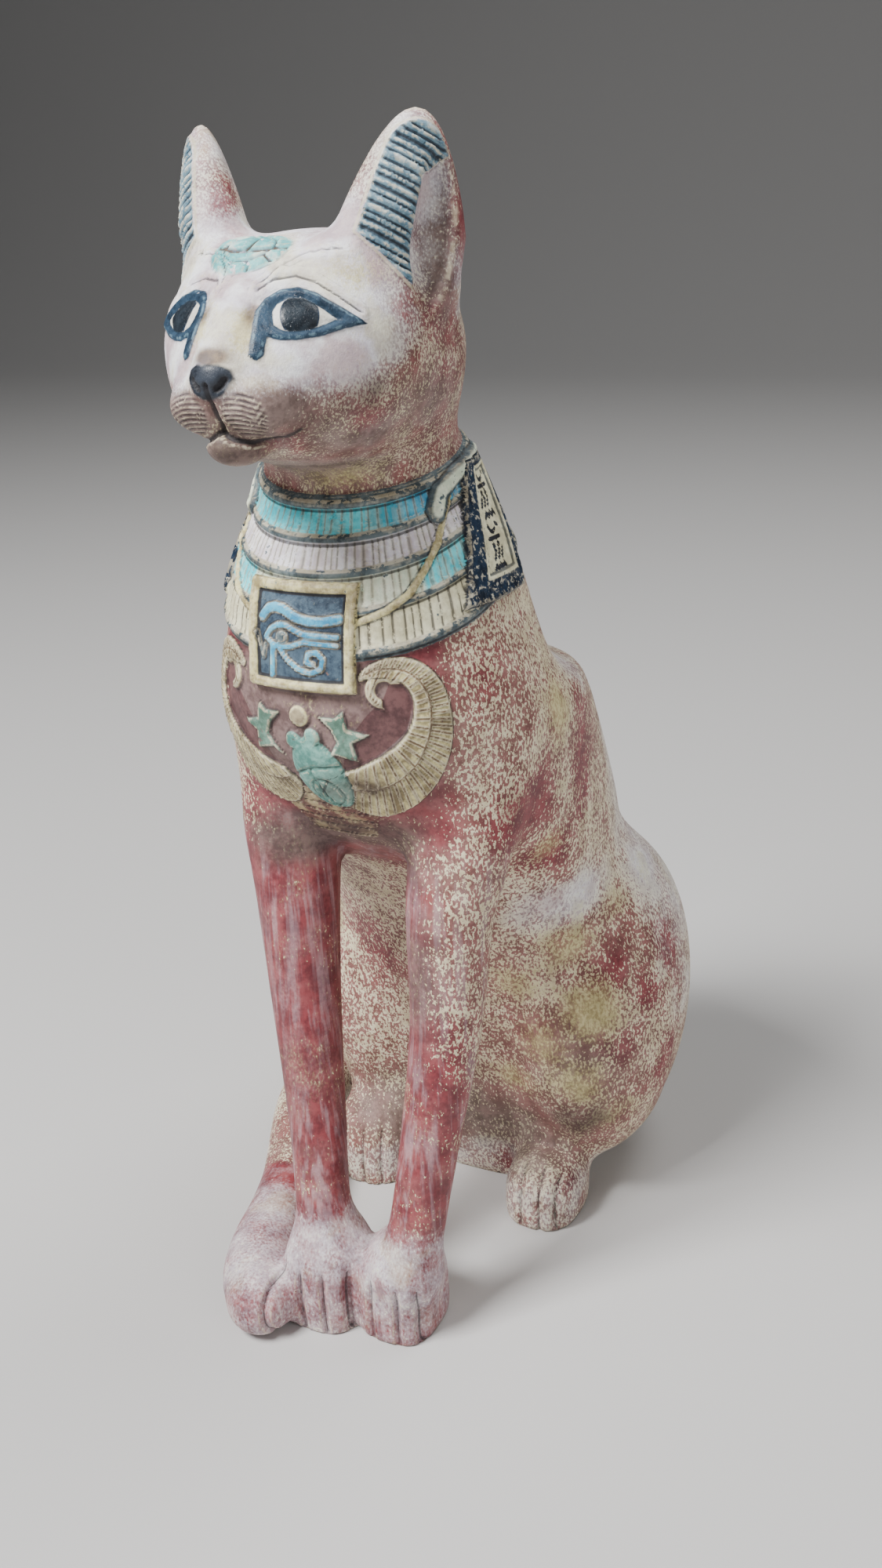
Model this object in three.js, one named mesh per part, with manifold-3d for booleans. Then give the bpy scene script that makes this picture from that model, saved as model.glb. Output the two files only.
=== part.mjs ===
// Seated cat figure in the old Nile manner, carved as one solid.
// The form is described by a distance field in carving units, 400 units from the floor to the
// ear tips, and turned into one faceted solid. The cat looks along -Y and stands on Z = 0.
import * as THREE from 'three';
import Module from 'manifold-3d';

// Sizes in millimetres
const HEIGHT = 400;          // floor to ear tips
const BREADTH = 175;         // tail on the right to haunch on the left
const LENGTH = 233;          // nose to rump
const CARVED = { breadth: 175, length: 233, height: 400 };   // the same sizes in carving units
const UNIT = [BREADTH / CARVED.breadth, LENGTH / CARVED.length, HEIGHT / CARVED.height];
const STOCK = { left: -106, front: -110, right: 88, back: 138, top: 404 };   // block the figure is carved from
const FAR = 900;             // marks stock well inside the figure
const SEAT_CENTRE = 70;      // carving Y of the point that becomes the origin
const CELL = 1.55;           // sampling step of the field
const MOST_FACETS = 9450;    // facets kept before the base is cut
const BASE_DEPTH = 6;        // stock left under the floor line and then cut off

// Relief, in carving units
const COLLAR_LIFT = 0.8;
const COLLAR_TILT = 0.3;     // rise of the rings towards the nape
const COLLAR_TOP = 295.4;
const COLLAR_FOOT = 257;
const COLLAR_RINGS = [       // level, half width, height
  [294.2, 1.7, 1.3], [286.1, 1.5, 1.0], [278.2, 1.5, 1.1], [269, 1.4, 0.9], [257.9, 1.6, 1.2],
];
const PECTORAL = { x: -1.5, z: 259.2, halfWide: 17.8, halfHigh: 15.8, border: 3.2, lift: 3, sunk: 1.3 };
const SIGN_LIFT = 0.9;       // signs and strokes on the pectoral
const SCARAB = { x: 1, z: 215.5, lean: 0.27, length: 13.5, breadth: 8.7, lift: 3.3 };
const DISC = { x: -3, z: 235.4, radius: 3.2, lift: 1.6 };
const LEAF = { axis: -3.3, lift: 1.2 };
const WING = { axis: -4, u: 18, z: 236, lift: 1.3, step: 0.5 };
const CHEST = { y: -10, radius: 57 };   // axis and radius used to unroll the chest
const SIDE_PLATE = { z: 284, halfHigh: 20, lift: 3.3, rim: 3.6, slope: 0.34, y: -19.5 };
const TOE_DEPTH = 1.5;
const TOE_HALF = 1.6;
const EYE = { x: 19.5, z: 351.6, rim: 1.3, lift: 0.6, ball: 0.6 };
const HEAD_RADIUS = 45;      // used to unroll the face
const NECK = { y: -20, radius: 38 };    // axis and radius used to unroll the neck
const CORD = { half: 1.6, lift: 1.6 };  // necklace cord, half width and height
const CLASP = { half: 3.2, lift: 3.2 }; // rolled clasp over the collar rim

// Helpers
const clamp = (v, a, b) => Math.min(b, Math.max(a, v));
const mix = (a, b, t) => a + (b - a) * t;
const fade = (t) => {
  const s = clamp(t, 0, 1);
  return s * s * (3 - 2 * s);
};
const long2 = (a, b) => Math.sqrt(a * a + b * b);
const long3 = (a, b, c) => Math.sqrt(a * a + b * b + c * c);
const bump = (d, half) => (Math.abs(d) < half ? 1 - (d / half) ** 2 : 0);
const inside = (d, soft) => fade(0.5 - d / soft);

function smoothMin(a, b, k) {
  const h = Math.max(k - Math.abs(a - b), 0) / k;
  return Math.min(a, b) - h * h * k * 0.25;
}

function smoothMax(a, b, k) {
  return -smoothMin(-a, -b, k);
}

// Smooth curve through rows of [parameter, value, value, ...]
function curve(rows) {
  const last = rows.length - 1;
  const width = rows[0].length - 1;
  const slopes = rows.map((row, i) => {
    const a = rows[Math.max(i - 1, 0)];
    const b = rows[Math.min(i + 1, last)];
    return Array.from({ length: width }, (_, j) => (b[j + 1] - a[j + 1]) / (b[0] - a[0]));
  });
  return (t) => {
    if (t <= rows[0][0]) return rows[0].slice(1);
    if (t >= rows[last][0]) return rows[last].slice(1);
    let i = 0;
    while (rows[i + 1][0] < t) i += 1;
    const h = rows[i + 1][0] - rows[i][0];
    const s = (t - rows[i][0]) / h;
    const s2 = s * s;
    const s3 = s2 * s;
    const out = [];
    for (let j = 0; j < width; j += 1) {
      out.push((2 * s3 - 3 * s2 + 1) * rows[i][j + 1] + (s3 - 2 * s2 + s) * h * slopes[i][j]
        + (-2 * s3 + 3 * s2) * rows[i + 1][j + 1] + (s3 - s2) * h * slopes[i + 1][j]);
    }
    return out;
  };
}

function ellipsoid(x, y, z, c, r, tilt = 0) {
  const px = x - c[0];
  const ty = y - c[1];
  const tz = z - c[2];
  const py = Math.cos(tilt) * ty + Math.sin(tilt) * tz;
  const pz = -Math.sin(tilt) * ty + Math.cos(tilt) * tz;
  const a = long3(px / r[0], py / r[1], pz / r[2]);
  const b = long3(px / (r[0] * r[0]), py / (r[1] * r[1]), pz / (r[2] * r[2]));
  return b < 1e-9 ? -Math.min(...r) : (a * (a - 1)) / b;
}

function roundCone(x, y, z, a, b) {
  const ax = b[0] - a[0];
  const ay = b[1] - a[1];
  const az = b[2] - a[2];
  const px = x - a[0];
  const py = y - a[1];
  const pz = z - a[2];
  const t = clamp((px * ax + py * ay + pz * az) / (ax * ax + ay * ay + az * az), 0, 1);
  return long3(px - ax * t, py - ay * t, pz - az * t) - mix(a[3], b[3], t);
}

function limb(x, y, z, joints) {
  let d = 1e9;
  for (let i = 0; i + 1 < joints.length; i += 1) d = Math.min(d, roundCone(x, y, z, joints[i], joints[i + 1]));
  return d;
}

// Rows of [x, y, z, radius] made into a smooth run of joints
function bent(rows, steps) {
  const at = curve(rows.map((row, i) => [i, ...row]));
  return Array.from({ length: (rows.length - 1) * steps + 1 }, (_, i) => at(i / steps));
}

// Block with rounded faces, n sets how square it is
function cushion(px, py, pz, n) {
  return (Math.abs(px) ** n + Math.abs(py) ** n + Math.abs(pz) ** n) ** (1 / n);
}

function segment(u, v, a, b) {
  const du = b[0] - a[0];
  const dv = b[1] - a[1];
  const t = clamp(((u - a[0]) * du + (v - a[1]) * dv) / (du * du + dv * dv), 0, 1);
  return long2(u - a[0] - du * t, v - a[1] - dv * t);
}

function stroke(u, v, points) {
  let d = 1e9;
  for (let i = 0; i + 1 < points.length; i += 1) d = Math.min(d, segment(u, v, points[i], points[i + 1]));
  return d;
}

// Signed distance to a closed outline in the plane
function outline(u, v, points) {
  let d = 1e9;
  let sign = 1;
  for (let i = 0, j = points.length - 1; i < points.length; j = i, i += 1) {
    const a = points[j];
    const b = points[i];
    d = Math.min(d, segment(u, v, a, b));
    if ((a[1] > v) !== (b[1] > v) && u < ((b[0] - a[0]) * (v - a[1])) / (b[1] - a[1]) + a[0]) sign = -sign;
  }
  return sign * d;
}

// Body: level, front Y, widest Y, back Y, half width, squareness
const TRUNK = curve([
  [-12, 36, 60, 92, 36, 2.4],
  [0, 34, 60, 95, 39, 2.4],
  [12, 31, 60, 105, 46, 2.4],
  [28, 28, 60, 119, 54, 2.4],
  [50, 24, 60, 128, 60, 2.3],
  [75, 18, 60, 130, 62, 2.3],
  [110, 7, 52, 119.6, 60, 2.2],
  [140, -4, 38, 112, 55.5, 2.2],
  [165, -20, 26, 106, 55, 2.2],
  [185, -43, 14, 99, 54.5, 2.2],
  [203, -57, 4, 88, 55, 2.2],
  [214, -63, 0, 77.5, 55.5, 2.2],
  [222, -66, -5, 68, 55.5, 2.2],
  [228, -67, -9, 49, 54.5, 2.2],
  [236, -67.5, -14, 36, 52.5, 2.2],
  [250, -66.4, -18, 32, 48.8, 2.2],
  [266, -63.8, -19, 28, 44.8, 2.2],
  [280, -58.2, -19, 23, 40, 2.15],
  [293, -51.2, -20, 16.5, 34.6, 2.1],
  [303, -49.3, -22, 10.5, 31.6, 2.05],
  [318, -51, -26, -1, 31, 2.1],
  [345, -54, -29, -4, 31, 2.1],
]);

function trunk(x, y, z) {
  const [front, wide, back, half, n] = TRUNK(z);
  const depth = y < wide ? wide - front : back - wide;
  const q = ((Math.abs(x) / half) ** n + (Math.abs(y - wide) / depth) ** n) ** (1 / n);
  return smoothMax((q - 1) * Math.min(half, depth) * 0.9, z - 345, 12);
}

// Head and face, given with ax the distance from the middle plane
const SKULL = { y: -42, z: 339.5, front: 46, back: 35.4, half: 39.2, up: 32, down: 33 };

function skull(ax, y, z) {
  const dy = y - SKULL.y;
  const dz = z - SKULL.z;
  const b = dy < 0 ? SKULL.front : SKULL.back;
  const h = dz > 0 ? SKULL.up : SKULL.down;
  const ring = (ax / SKULL.half) ** 2.5 + (Math.abs(dy) / b) ** 2.5;
  const q = (ring ** 0.88 + (Math.abs(dz) / h) ** 2.2) ** (1 / 2.2);
  return (q - 1) * Math.min(b, SKULL.half, h);
}

function head(ax, y, z) {
  let d = skull(ax, y, z);
  d = smoothMin(d, ellipsoid(ax, y, z, [0, -78, 334], [19, 20, 15]), 12);
  d = smoothMin(d, roundCone(ax, y, z, [0, -96, 337.5, 5], [0, -81, 352, 7]), 6);
  d = smoothMin(d, ellipsoid(ax, y, z, [8, -89.5, 330], [9.8, 11, 7.5]), 4);
  d = smoothMin(d, ellipsoid(ax, y, z, [0, -89, 320], [8.3, 9.8, 6]), 3);
  return d;
}

// Ears: a blade set along a plan angle, hollowed on its open side
const EAR = { tip: [34, -42, 400], turn: 52 * THREE.MathUtils.DEG2RAD, lean: [0.15, 0.16], wide: 3.5, thick: 1.85, low: 52 };

function earFrame(ax, y, z) {
  const d = EAR.tip[2] - z;
  const px = ax - EAR.tip[0] + EAR.lean[0] * d;
  const py = y - EAR.tip[1] + EAR.lean[1] * d;
  const c = Math.cos(EAR.turn);
  const s = Math.sin(EAR.turn);
  return [d, c * px + s * py, s * px - c * py];
}

function earWidths(d) {
  const deep = Math.max(d, 0.01);
  return [EAR.wide * Math.sqrt(Math.min(deep, 33)), EAR.thick * Math.sqrt(Math.min(deep, 26))];
}

function ear(ax, y, z) {
  const [d, along, out] = earFrame(ax, y, z);
  const [wide, thick] = earWidths(d);
  const q = ((Math.abs(along) / wide) ** 2.2 + (Math.abs(out) / thick) ** 2.2) ** (1 / 2.2);
  let shell = d <= 0 ? long3(along, out, d) : Math.max((q - 1) * thick * 0.85, -d);
  shell = smoothMax(shell, d - EAR.low, 8);
  const hollow = ellipsoid(along, out, d, [6.5, thick + 1, 33], [7.5, 8, 23]);
  return smoothMax(shell, -hollow, 1.2);
}

// Legs, paws and tail
const FORELEG = bent([
  [34, -25, 212, 17], [32, -32, 185, 17], [29, -38, 160, 14.6], [27.3, -42, 120, 12.3],
  [22.4, -50, 76, 10.3], [19, -56.5, 46, 9.8], [16, -58.5, 28, 11],
], 4);
const TAIL = bent([
  [0, 98, 13, 14], [-32, 108, 13.5, 15], [-62, 100, 13.5, 15], [-82, 78, 13.5, 14.5], [-85, 52, 13, 14],
  [-79, 28, 13, 13.8], [-69, 6, 12.8, 13.5], [-59, -16, 12.5, 13.2], [-53, -36, 12.3, 13],
  [-49, -54, 12.2, 13], [-43.5, -68, 12, 12.8], [-36, -78, 11.6, 12.3],
], 3);

function forepaws(x, y, z) {
  const left = (cushion((x - 9.5) / 14.7, (y + 53.5) / 16.5, (z - 11) / 24, 2.9) - 1) * 13;
  const right = (cushion((x + 18) / 15.2, (y + 58) / 17, (z - 11) / 24, 2.9) - 1) * 13;
  return smoothMin(left, right, 3);
}

function hindpaws(x, y, z) {
  const left = (cushion((x - 34) / 15, (y - 25) / 19, (z - 8) / 18.5, 2.6) - 1) * 13;
  const right = (cushion((x + 42) / 17, (y - 28) / 21, (z - 8) / 29, 2.4) - 1) * 14;
  return Math.min(left, right);
}

// The figure without its fine relief
function form(x, y, z) {
  const ax = Math.abs(x);
  let d = trunk(x, y, z);
  if (z < 165) d = smoothMin(d, ellipsoid(ax, y, z, [44, 68, 77], [31, 52, 64], -0.14), 14);
  if (z > 285) d = smoothMin(d, head(ax, y, z), 9);
  if (z > 325) d = smoothMin(d, ear(ax, y, z), 7);
  if (z < 250 && y < 25) d = smoothMin(d, limb(ax, y, z, FORELEG), 9);
  if (z < 60 && y < 0) d = smoothMin(d, forepaws(x, y, z), 8);
  if (z < 60 && y < 75) d = smoothMin(d, hindpaws(x, y, z), 7);
  if (z < 50) d = smoothMin(d, limb(x, y, z, TAIL), 5);
  return d;
}

// Wing outline round its own centre: turn in degrees, inner radius, outer radius
const WING_EDGE = curve([
  [-125, 24, 30], [-113, 19.5, 34], [-90, 14.5, 37], [-69, 12.8, 35.3], [-53, 12.4, 32.7], [-29, 12.8, 28.5],
  [-4, 14, 26], [23, 15.4, 25.2], [42, 15.4, 23.7], [57, 14.2, 21.4], [76, 12.4, 17.5], [95, 11, 13],
]);
const LEAF_EDGE = [
  [3.5, 235.9], [8.9, 235.7], [11.7, 238], [12.6, 232.5], [19, 230.6], [13.8, 227.9],
  [14.6, 221.8], [7.4, 223.8], [4.4, 221], [8.9, 227.9], [7.4, 232.1],
];
const BROW = [[-12.5, 5], [-8, 8.2], [-3, 7.2], [3.5, 5.2], [13, 5.6]];
const UPPER_LID = [[-11, -0.6], [-8, 2.6], [-4, 3.6], [1, 1.4], [12.5, 0.8]];
const LOWER_LID = [[-11, -0.6], [-6, -3], [-1, -2.6], [12.5, -1.4]];
const DROP = [[-8.6, -2.4], [-8.6, -11.2]];
const CURL = [[-5.5, -3], [-1.5, -8], [3.5, -9.8], [7.5, -8], [7.4, -5], [4.6, -4.2], [3.4, -6.4]];
const EYE_EDGE = [
  [-11.5, 1], [-8, 2.6], [-3.5, 4], [1, 4], [6, 2.2], [12, -2], [6.5, -2.9], [0.5, -4], [-4.5, -3.6], [-9, -1.8],
];
const MOUTH = [[-17.5, 323.5], [-13, 321], [-8, 320.4], [-3, 322.8], [0, 324.4], [3, 322.8], [8, 320.4], [13, 321], [17.5, 323.5]];

// Lines of the cord and the clasps, as way round the neck and level
const CORD_LINE = [[47.8, 297], [43.5, 291], [39.9, 286], [33.4, 278], [27.3, 271], [21.2, 267], [12.4, 263.5]];
const CLASP_LINE = [[76.2, 304.5], [63.3, 303.6], [51.6, 301], [43.4, 297], [40.3, 291.5]];

function necklace(x, y, z, below) {
  const w = NECK.radius * Math.atan2(Math.abs(x), NECK.y - y);
  const cord = stroke(w, z, CORD_LINE);
  const clasp = stroke(w, z, CLASP_LINE);
  let h = Math.max(below, 0.5 * below + CORD.lift * Math.sqrt(bump(cord, CORD.half)));
  h = Math.max(h, 0.4 * below + CLASP.lift * Math.sqrt(bump(clasp, CLASP.half)));
  return h;
}

function collar(x, y, z) {
  const t = z - COLLAR_TILT * (y + 55);
  if (t < 254 || t > 298) return 0;
  let h = COLLAR_LIFT * inside(Math.max(COLLAR_FOOT - t, t - COLLAR_TOP), 1.2);
  for (const [level, half, height] of COLLAR_RINGS) h = Math.max(h, COLLAR_LIFT + height * bump(t - level, half) - 0.01);
  return h * inside(Math.max(254.8 - t, t - 297.2), 1);
}

function pectoral(x, y, z) {
  const u = x - PECTORAL.x;
  const v = z - PECTORAL.z;
  const q = Math.max(Math.abs(u) - PECTORAL.halfWide, Math.abs(v) - PECTORAL.halfHigh);
  if (q > 2) return [0, 0];
  const q2 = q + PECTORAL.border;
  let h = PECTORAL.lift * inside(q, 1.4) - PECTORAL.sunk * inside(q2, 1);
  const sign = Math.min(
    stroke(u, v, BROW) - 1.3, stroke(u, v, UPPER_LID) - 1, stroke(u, v, LOWER_LID) - 0.9,
    stroke(u, v, DROP) - 1, stroke(u, v, CURL) - 0.9, long2(u + 5.4, v + 0.2) - 1.9,
  );
  h += SIGN_LIFT * inside(sign, 1.4);
  return [h, inside(q, 1.4)];
}

function breast(x, y, z) {
  let h = 0;
  const du = x - SCARAB.x;
  const dv = z - SCARAB.z;
  const along = (-dv + SCARAB.lean * du) / Math.hypot(1, SCARAB.lean);
  const across = (du + SCARAB.lean * dv) / Math.hypot(1, SCARAB.lean);
  const body = (along / SCARAB.length) ** 2 + (across / SCARAB.breadth) ** 2;
  if (body < 1) {
    h = SCARAB.lift * Math.sqrt(1 - body);
    h -= 0.8 * bump(along + 4.6, 1.6);
    if (along > -4) h -= 0.7 * bump(across, 1.5);
  }
  const horns = long2(Math.abs(across) - 3.4, along + 13) - 2.2;
  h = Math.max(h, 1.7 * inside(horns, 2));
  h = Math.max(h, DISC.lift * inside(long2(x - DISC.x, z - DISC.z) - DISC.radius, 1.8));
  const leaf = outline(Math.abs(x - LEAF.axis) + LEAF.axis, z, LEAF_EDGE);
  h = Math.max(h, LEAF.lift * inside(leaf, 1.8));
  const u = CHEST.radius * Math.atan2(x, CHEST.y - y);
  const wu = Math.abs(u - WING.axis) + WING.axis - WING.u;
  const wv = z - WING.z;
  const r = long2(wu, wv);
  const turn = Math.atan2(wv, wu) / THREE.MathUtils.DEG2RAD;
  if (turn > -125 && turn < 95 && body > 1) {
    const [inner, outer] = WING_EDGE(turn);
    const edge = Math.max(inner - r, r - outer);
    const layer = mix(inner, outer, 0.42);
    let w = WING.lift * inside(edge, 2) - WING.step * inside(layer - r, 1.6);
    w *= inside(Math.max(-123 - turn, turn - 93) * 0.3, 1);
    h = Math.max(h, w);
  }
  h = Math.max(h, 1.7 * bump(long2(wu - 6.3, wv - 8.4) - 3.4, 1.9));
  return h;
}

function sidePlate(ax, y, z) {
  const v = z - SIDE_PLATE.z;
  const u = y - SIDE_PLATE.y - SIDE_PLATE.slope * v;
  const half = 12.5 - 0.16 * v;
  const q = Math.max(Math.abs(u) - half, Math.abs(v) - SIDE_PLATE.halfHigh);
  if (ax < 20 || q > 2) return [0, 0];
  const frame = Math.abs(q + SIDE_PLATE.rim);
  return [SIDE_PLATE.lift * inside(q, 1.4) + 0.6 * bump(frame, 1), inside(q, 1.4)];
}

function face(x, ax, y, z) {
  let h = 0;
  const turn = HEAD_RADIUS * Math.atan2(ax, SKULL.y - y);
  const u = turn - EYE.x;
  const v = z - EYE.z + 0.06 * u;
  const edge = outline(u, v, EYE_EDGE);
  h += EYE.lift * bump(edge - EYE.rim * 0.6, EYE.rim + 0.5);
  if (edge < 0) h += EYE.ball * fade(-edge / 3) - 0.3 * fade(-edge);
  h += EYE.lift * bump(stroke(u, v, [[10, -1.4], [14.5, -2.2]]), 1.7);
  h += 0.7 * bump(stroke(u, v, [[-11, 0.6], [-9.6, -8]]), 2);
  h -= 0.6 * bump(stroke(u, v, [[-10, 6.6], [-3, 8.2], [5, 6.2], [12, 1.6]]), 1.1);
  if (y < -70) {
    const nose = long2(x / 5.6, (z - 338) / (z > 338 ? 4.4 : 4.8));
    h += 1.1 * inside((nose - 1) * 4.5, 1.4);
    h -= 1.3 * bump(long2(ax - 3.1, (z - 336.4) * 1.5), 1.6);
    h -= 1.1 * bump(stroke(x, z, [[0, 333.4], [0, 324.4]]), 1.2);
    h -= 1.1 * bump(stroke(x, z, MOUTH), 2) * inside(ax - 10, 8);
  }
  return h;
}

function crown(x, y, z) {
  const q = long2((x + 4) / 11, (y + 68) / 9.5);
  return 1.3 * (q < 1 ? Math.sqrt(1 - q * q) : 0) - 0.6 * bump(x + 4, 1) * (q < 0.9 ? 1 : 0);
}

// The strip of hair carved along the inner edge of each ear
function earStrip(ax, y, z) {
  const [d, along, out] = earFrame(ax, y, z);
  const [wide] = earWidths(d);
  if (out < 1 || d < 2 || d > 48) return 0;
  const right = d < 17 ? wide - 3 : 0.6;
  const q = Math.max(-wide * 0.72 - along, along - right, 5 - d, d - 40 - 0.5 * along);
  return 0.5 * inside(q, 1.8);
}

const FORE_GROOVES = [-28, -20.6, -11.6, -4.4, 4.4, 15.2, 22.2];
const HIND_GROOVES = [-50, -41, -33, 29.6, 37.2, 44];

function toes(x, y, z) {
  if (z > 30) return 0;
  const list = y < -20 ? FORE_GROOVES : HIND_GROOVES;
  const frontY = y < -20 ? -58 : 20;
  let h = 0;
  for (const groove of list) h = Math.max(h, bump(x - groove, TOE_HALF));
  return -TOE_DEPTH * h * fade((30 - z) / 9) * fade((frontY - y) / 6);
}

function relief(x, y, z) {
  const ax = Math.abs(x);
  if (z < 31) return y < -50 || (y > -5 && y < 22) ? toes(x, y, z) : 0;
  let h = 0;
  if (z > 188 && z < 256 && y < -20) h = breast(x, y, z);
  if (z > 240 && z < 322) {
    const ring = collar(x, y, z);
    h = necklace(x, y, z, Math.max(h, ring));
    if (y < -35) {
      const [lift, mask] = pectoral(x, y, z);
      h = mix(h, lift, mask);
    }
    const [plate, cover] = sidePlate(ax, y, z);
    h = mix(h, plate, cover);
  }
  if (z > 312 && z < 366 && y < -45) h += face(x, ax, y, z);
  if (z > 352 && ax < 20) h += crown(x, y, z);
  if (z > 350 && ax > 14) h += earStrip(ax, y, z);
  return h;
}

function figure(x, y, z) {
  const d = form(x, y, z);
  return Math.abs(d) < 6 ? d - relief(x, y, z) : d;
}

// Samples the field on a grid, leaving out blocks that are far from the surface
function sampleField() {
  const low = [STOCK.left, STOCK.front, -BASE_DEPTH - CELL];
  const high = [STOCK.right, STOCK.back, STOCK.top];
  const size = low.map((v, i) => Math.ceil((high[i] - v) / CELL / 4) * 4 + 1);
  const values = new Float32Array(size[0] * size[1] * size[2]).fill(1e3);
  const index = (i, j, k) => (k * size[1] + j) * size[0] + i;
  const visit = (i0, j0, k0, use) => {
    for (let k = k0; k <= k0 + 4; k += 1) {
      for (let j = j0; j <= j0 + 4; j += 1) {
        for (let i = i0; i <= i0 + 4; i += 1) use(index(i, j, k), i, j, k);
      }
    }
  };
  for (let k = 0; k < size[2] - 1; k += 4) {
    for (let j = 0; j < size[1] - 1; j += 4) {
      for (let i = 0; i < size[0] - 1; i += 4) {
        const middle = form(low[0] + (i + 2) * CELL, low[1] + (j + 2) * CELL, low[2] + (k + 2) * CELL);
        if (Math.abs(middle) > 4 * CELL * 1.7 + 3) {
          if (middle < 0) visit(i, j, k, (q) => { if (values[q] === 1e3) values[q] = -FAR; });
        } else {
          visit(i, j, k, (q, a, b, c) => {
            if (Math.abs(values[q]) < FAR) return;
            values[q] = figure(low[0] + a * CELL, low[1] + b * CELL, low[2] + c * CELL) || 1e-6;
          });
        }
      }
    }
  }
  for (let j = 0; j < size[1]; j += 1) {
    for (let i = 0; i < size[0]; i += 1) values[index(i, j, 0)] = Math.max(values[index(i, j, 0)], 0.5 * CELL);
  }
  return { low, size, values, index };
}

const CORNER_LINKS = [[1, 2, 4], [0, 3, 5], [0, 3, 6], [1, 2, 7], [0, 5, 6], [1, 4, 7], [2, 4, 7], [3, 5, 6]];

// True when the corners of one sign all touch each other along the cell's edges
function joined(mask) {
  if (mask === 0) return true;
  let seen = mask & -mask;
  for (let grown = 0; grown !== seen;) {
    grown = seen;
    for (let c = 0; c < 8; c += 1) {
      if (!(seen & (1 << c))) continue;
      for (const n of CORNER_LINKS[c]) if (mask & (1 << n)) seen |= 1 << n;
    }
  }
  return seen === mask;
}

const CLEAN = Array.from({ length: 256 }, (_, mask) => joined(mask) && joined(255 - mask));

function cellMask(grid, i, j, k) {
  let mask = 0;
  for (let c = 0; c < 8; c += 1) {
    if (grid.values[grid.index(i + (c & 1), j + ((c >> 1) & 1), k + (c >> 2))] < 0) mask |= 1 << c;
  }
  return mask;
}

// Fills the few cells in which two sheets of surface would touch
function tidyGrid(grid) {
  const [nx, ny, nz] = grid.size;
  for (let pass = 0; pass < 12; pass += 1) {
    let changed = 0;
    for (let k = 0; k < nz - 1; k += 1) {
      for (let j = 0; j < ny - 1; j += 1) {
        for (let i = 0; i < nx - 1; i += 1) {
          if (CLEAN[cellMask(grid, i, j, k)]) continue;
          changed += 1;
          for (let c = 0; c < 8; c += 1) {
            const q = grid.index(i + (c & 1), j + ((c >> 1) & 1), k + (c >> 2));
            if (k + (c >> 2) > 0 && grid.values[q] > 0) grid.values[q] = -0.05;
          }
        }
      }
    }
    if (!changed) break;
  }
}

// One vertex in each crossed cell, moved onto the surface, and a quad across each crossed edge
function netSurface(grid) {
  const { low, size, values, index } = grid;
  const ids = new Int32Array(values.length).fill(-1);
  const points = [];
  const faces = [];
  const edges = [[0, 1], [0, 2], [0, 4], [1, 3], [1, 5], [2, 3], [2, 6], [3, 7], [4, 5], [4, 6], [5, 7], [6, 7]];
  for (let k = 0; k < size[2] - 1; k += 1) {
    for (let j = 0; j < size[1] - 1; j += 1) {
      for (let i = 0; i < size[0] - 1; i += 1) {
        const mask = cellMask(grid, i, j, k);
        if (mask === 0 || mask === 255) continue;
        const sum = [0, 0, 0];
        let count = 0;
        for (const [a, b] of edges) {
          if (((mask >> a) & 1) === ((mask >> b) & 1)) continue;
          const va = values[index(i + (a & 1), j + ((a >> 1) & 1), k + (a >> 2))];
          const vb = values[index(i + (b & 1), j + ((b >> 1) & 1), k + (b >> 2))];
          const t = va / (va - vb);
          for (let d = 0; d < 3; d += 1) sum[d] += mix((a >> d) & 1, (b >> d) & 1, t);
          count += 1;
        }
        ids[index(i, j, k)] = points.length / 3;
        points.push(low[0] + (i + sum[0] / count) * CELL, low[1] + (j + sum[1] / count) * CELL,
          low[2] + (k + sum[2] / count) * CELL);
      }
    }
  }
  const quad = (a, b, c, d, turned) => {
    if (turned) faces.push(a, c, b, a, d, c);
    else faces.push(a, b, c, a, c, d);
  };
  const inner = (i, j, k) => values[index(i, j, k)] < 0;
  for (let k = 1; k < size[2] - 1; k += 1) {
    for (let j = 1; j < size[1] - 1; j += 1) {
      for (let i = 1; i < size[0] - 1; i += 1) {
        const here = inner(i, j, k);
        const at = (a, b, c) => ids[index(i - a, j - b, k - c)];
        if (here !== inner(i + 1, j, k)) quad(at(0, 1, 1), at(0, 0, 1), at(0, 0, 0), at(0, 1, 0), !here);
        if (here !== inner(i, j + 1, k)) quad(at(1, 0, 1), at(1, 0, 0), at(0, 0, 0), at(0, 0, 1), !here);
        if (here !== inner(i, j, k + 1)) quad(at(1, 1, 0), at(0, 1, 0), at(0, 0, 0), at(1, 0, 0), !here);
      }
    }
  }
  // floor layer: edges between the capped layer and the one above it
  for (let j = 1; j < size[1] - 1; j += 1) {
    for (let i = 1; i < size[0] - 1; i += 1) {
      if (inner(i, j, 0) !== inner(i, j, 1)) {
        const at = (a, b) => ids[index(i - a, j - b, 0)];
        quad(at(1, 1), at(0, 1), at(0, 0), at(1, 0), true);
      }
    }
  }
  return { points: settle(points), faces };
}

// Draws each vertex a little way onto the surface itself
function settle(points) {
  const e = 0.25;
  const reach = 0.45 * CELL;
  for (let i = 0; i < points.length; i += 3) {
    const [x, y, z] = [points[i], points[i + 1], points[i + 2]];
    if (z < 0.5 - BASE_DEPTH) continue;
    const v = figure(x, y, z);
    const g = [figure(x + e, y, z) - v, figure(x, y + e, z) - v, figure(x, y, z + e) - v].map((w) => w / e);
    const n = g[0] * g[0] + g[1] * g[1] + g[2] * g[2];
    if (n < 0.05) continue;
    const move = clamp(-v / Math.sqrt(n), -reach, reach) / Math.sqrt(n);
    for (let d = 0; d < 3; d += 1) points[i + d] += g[d] * move;
  }
  return points;
}

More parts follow.
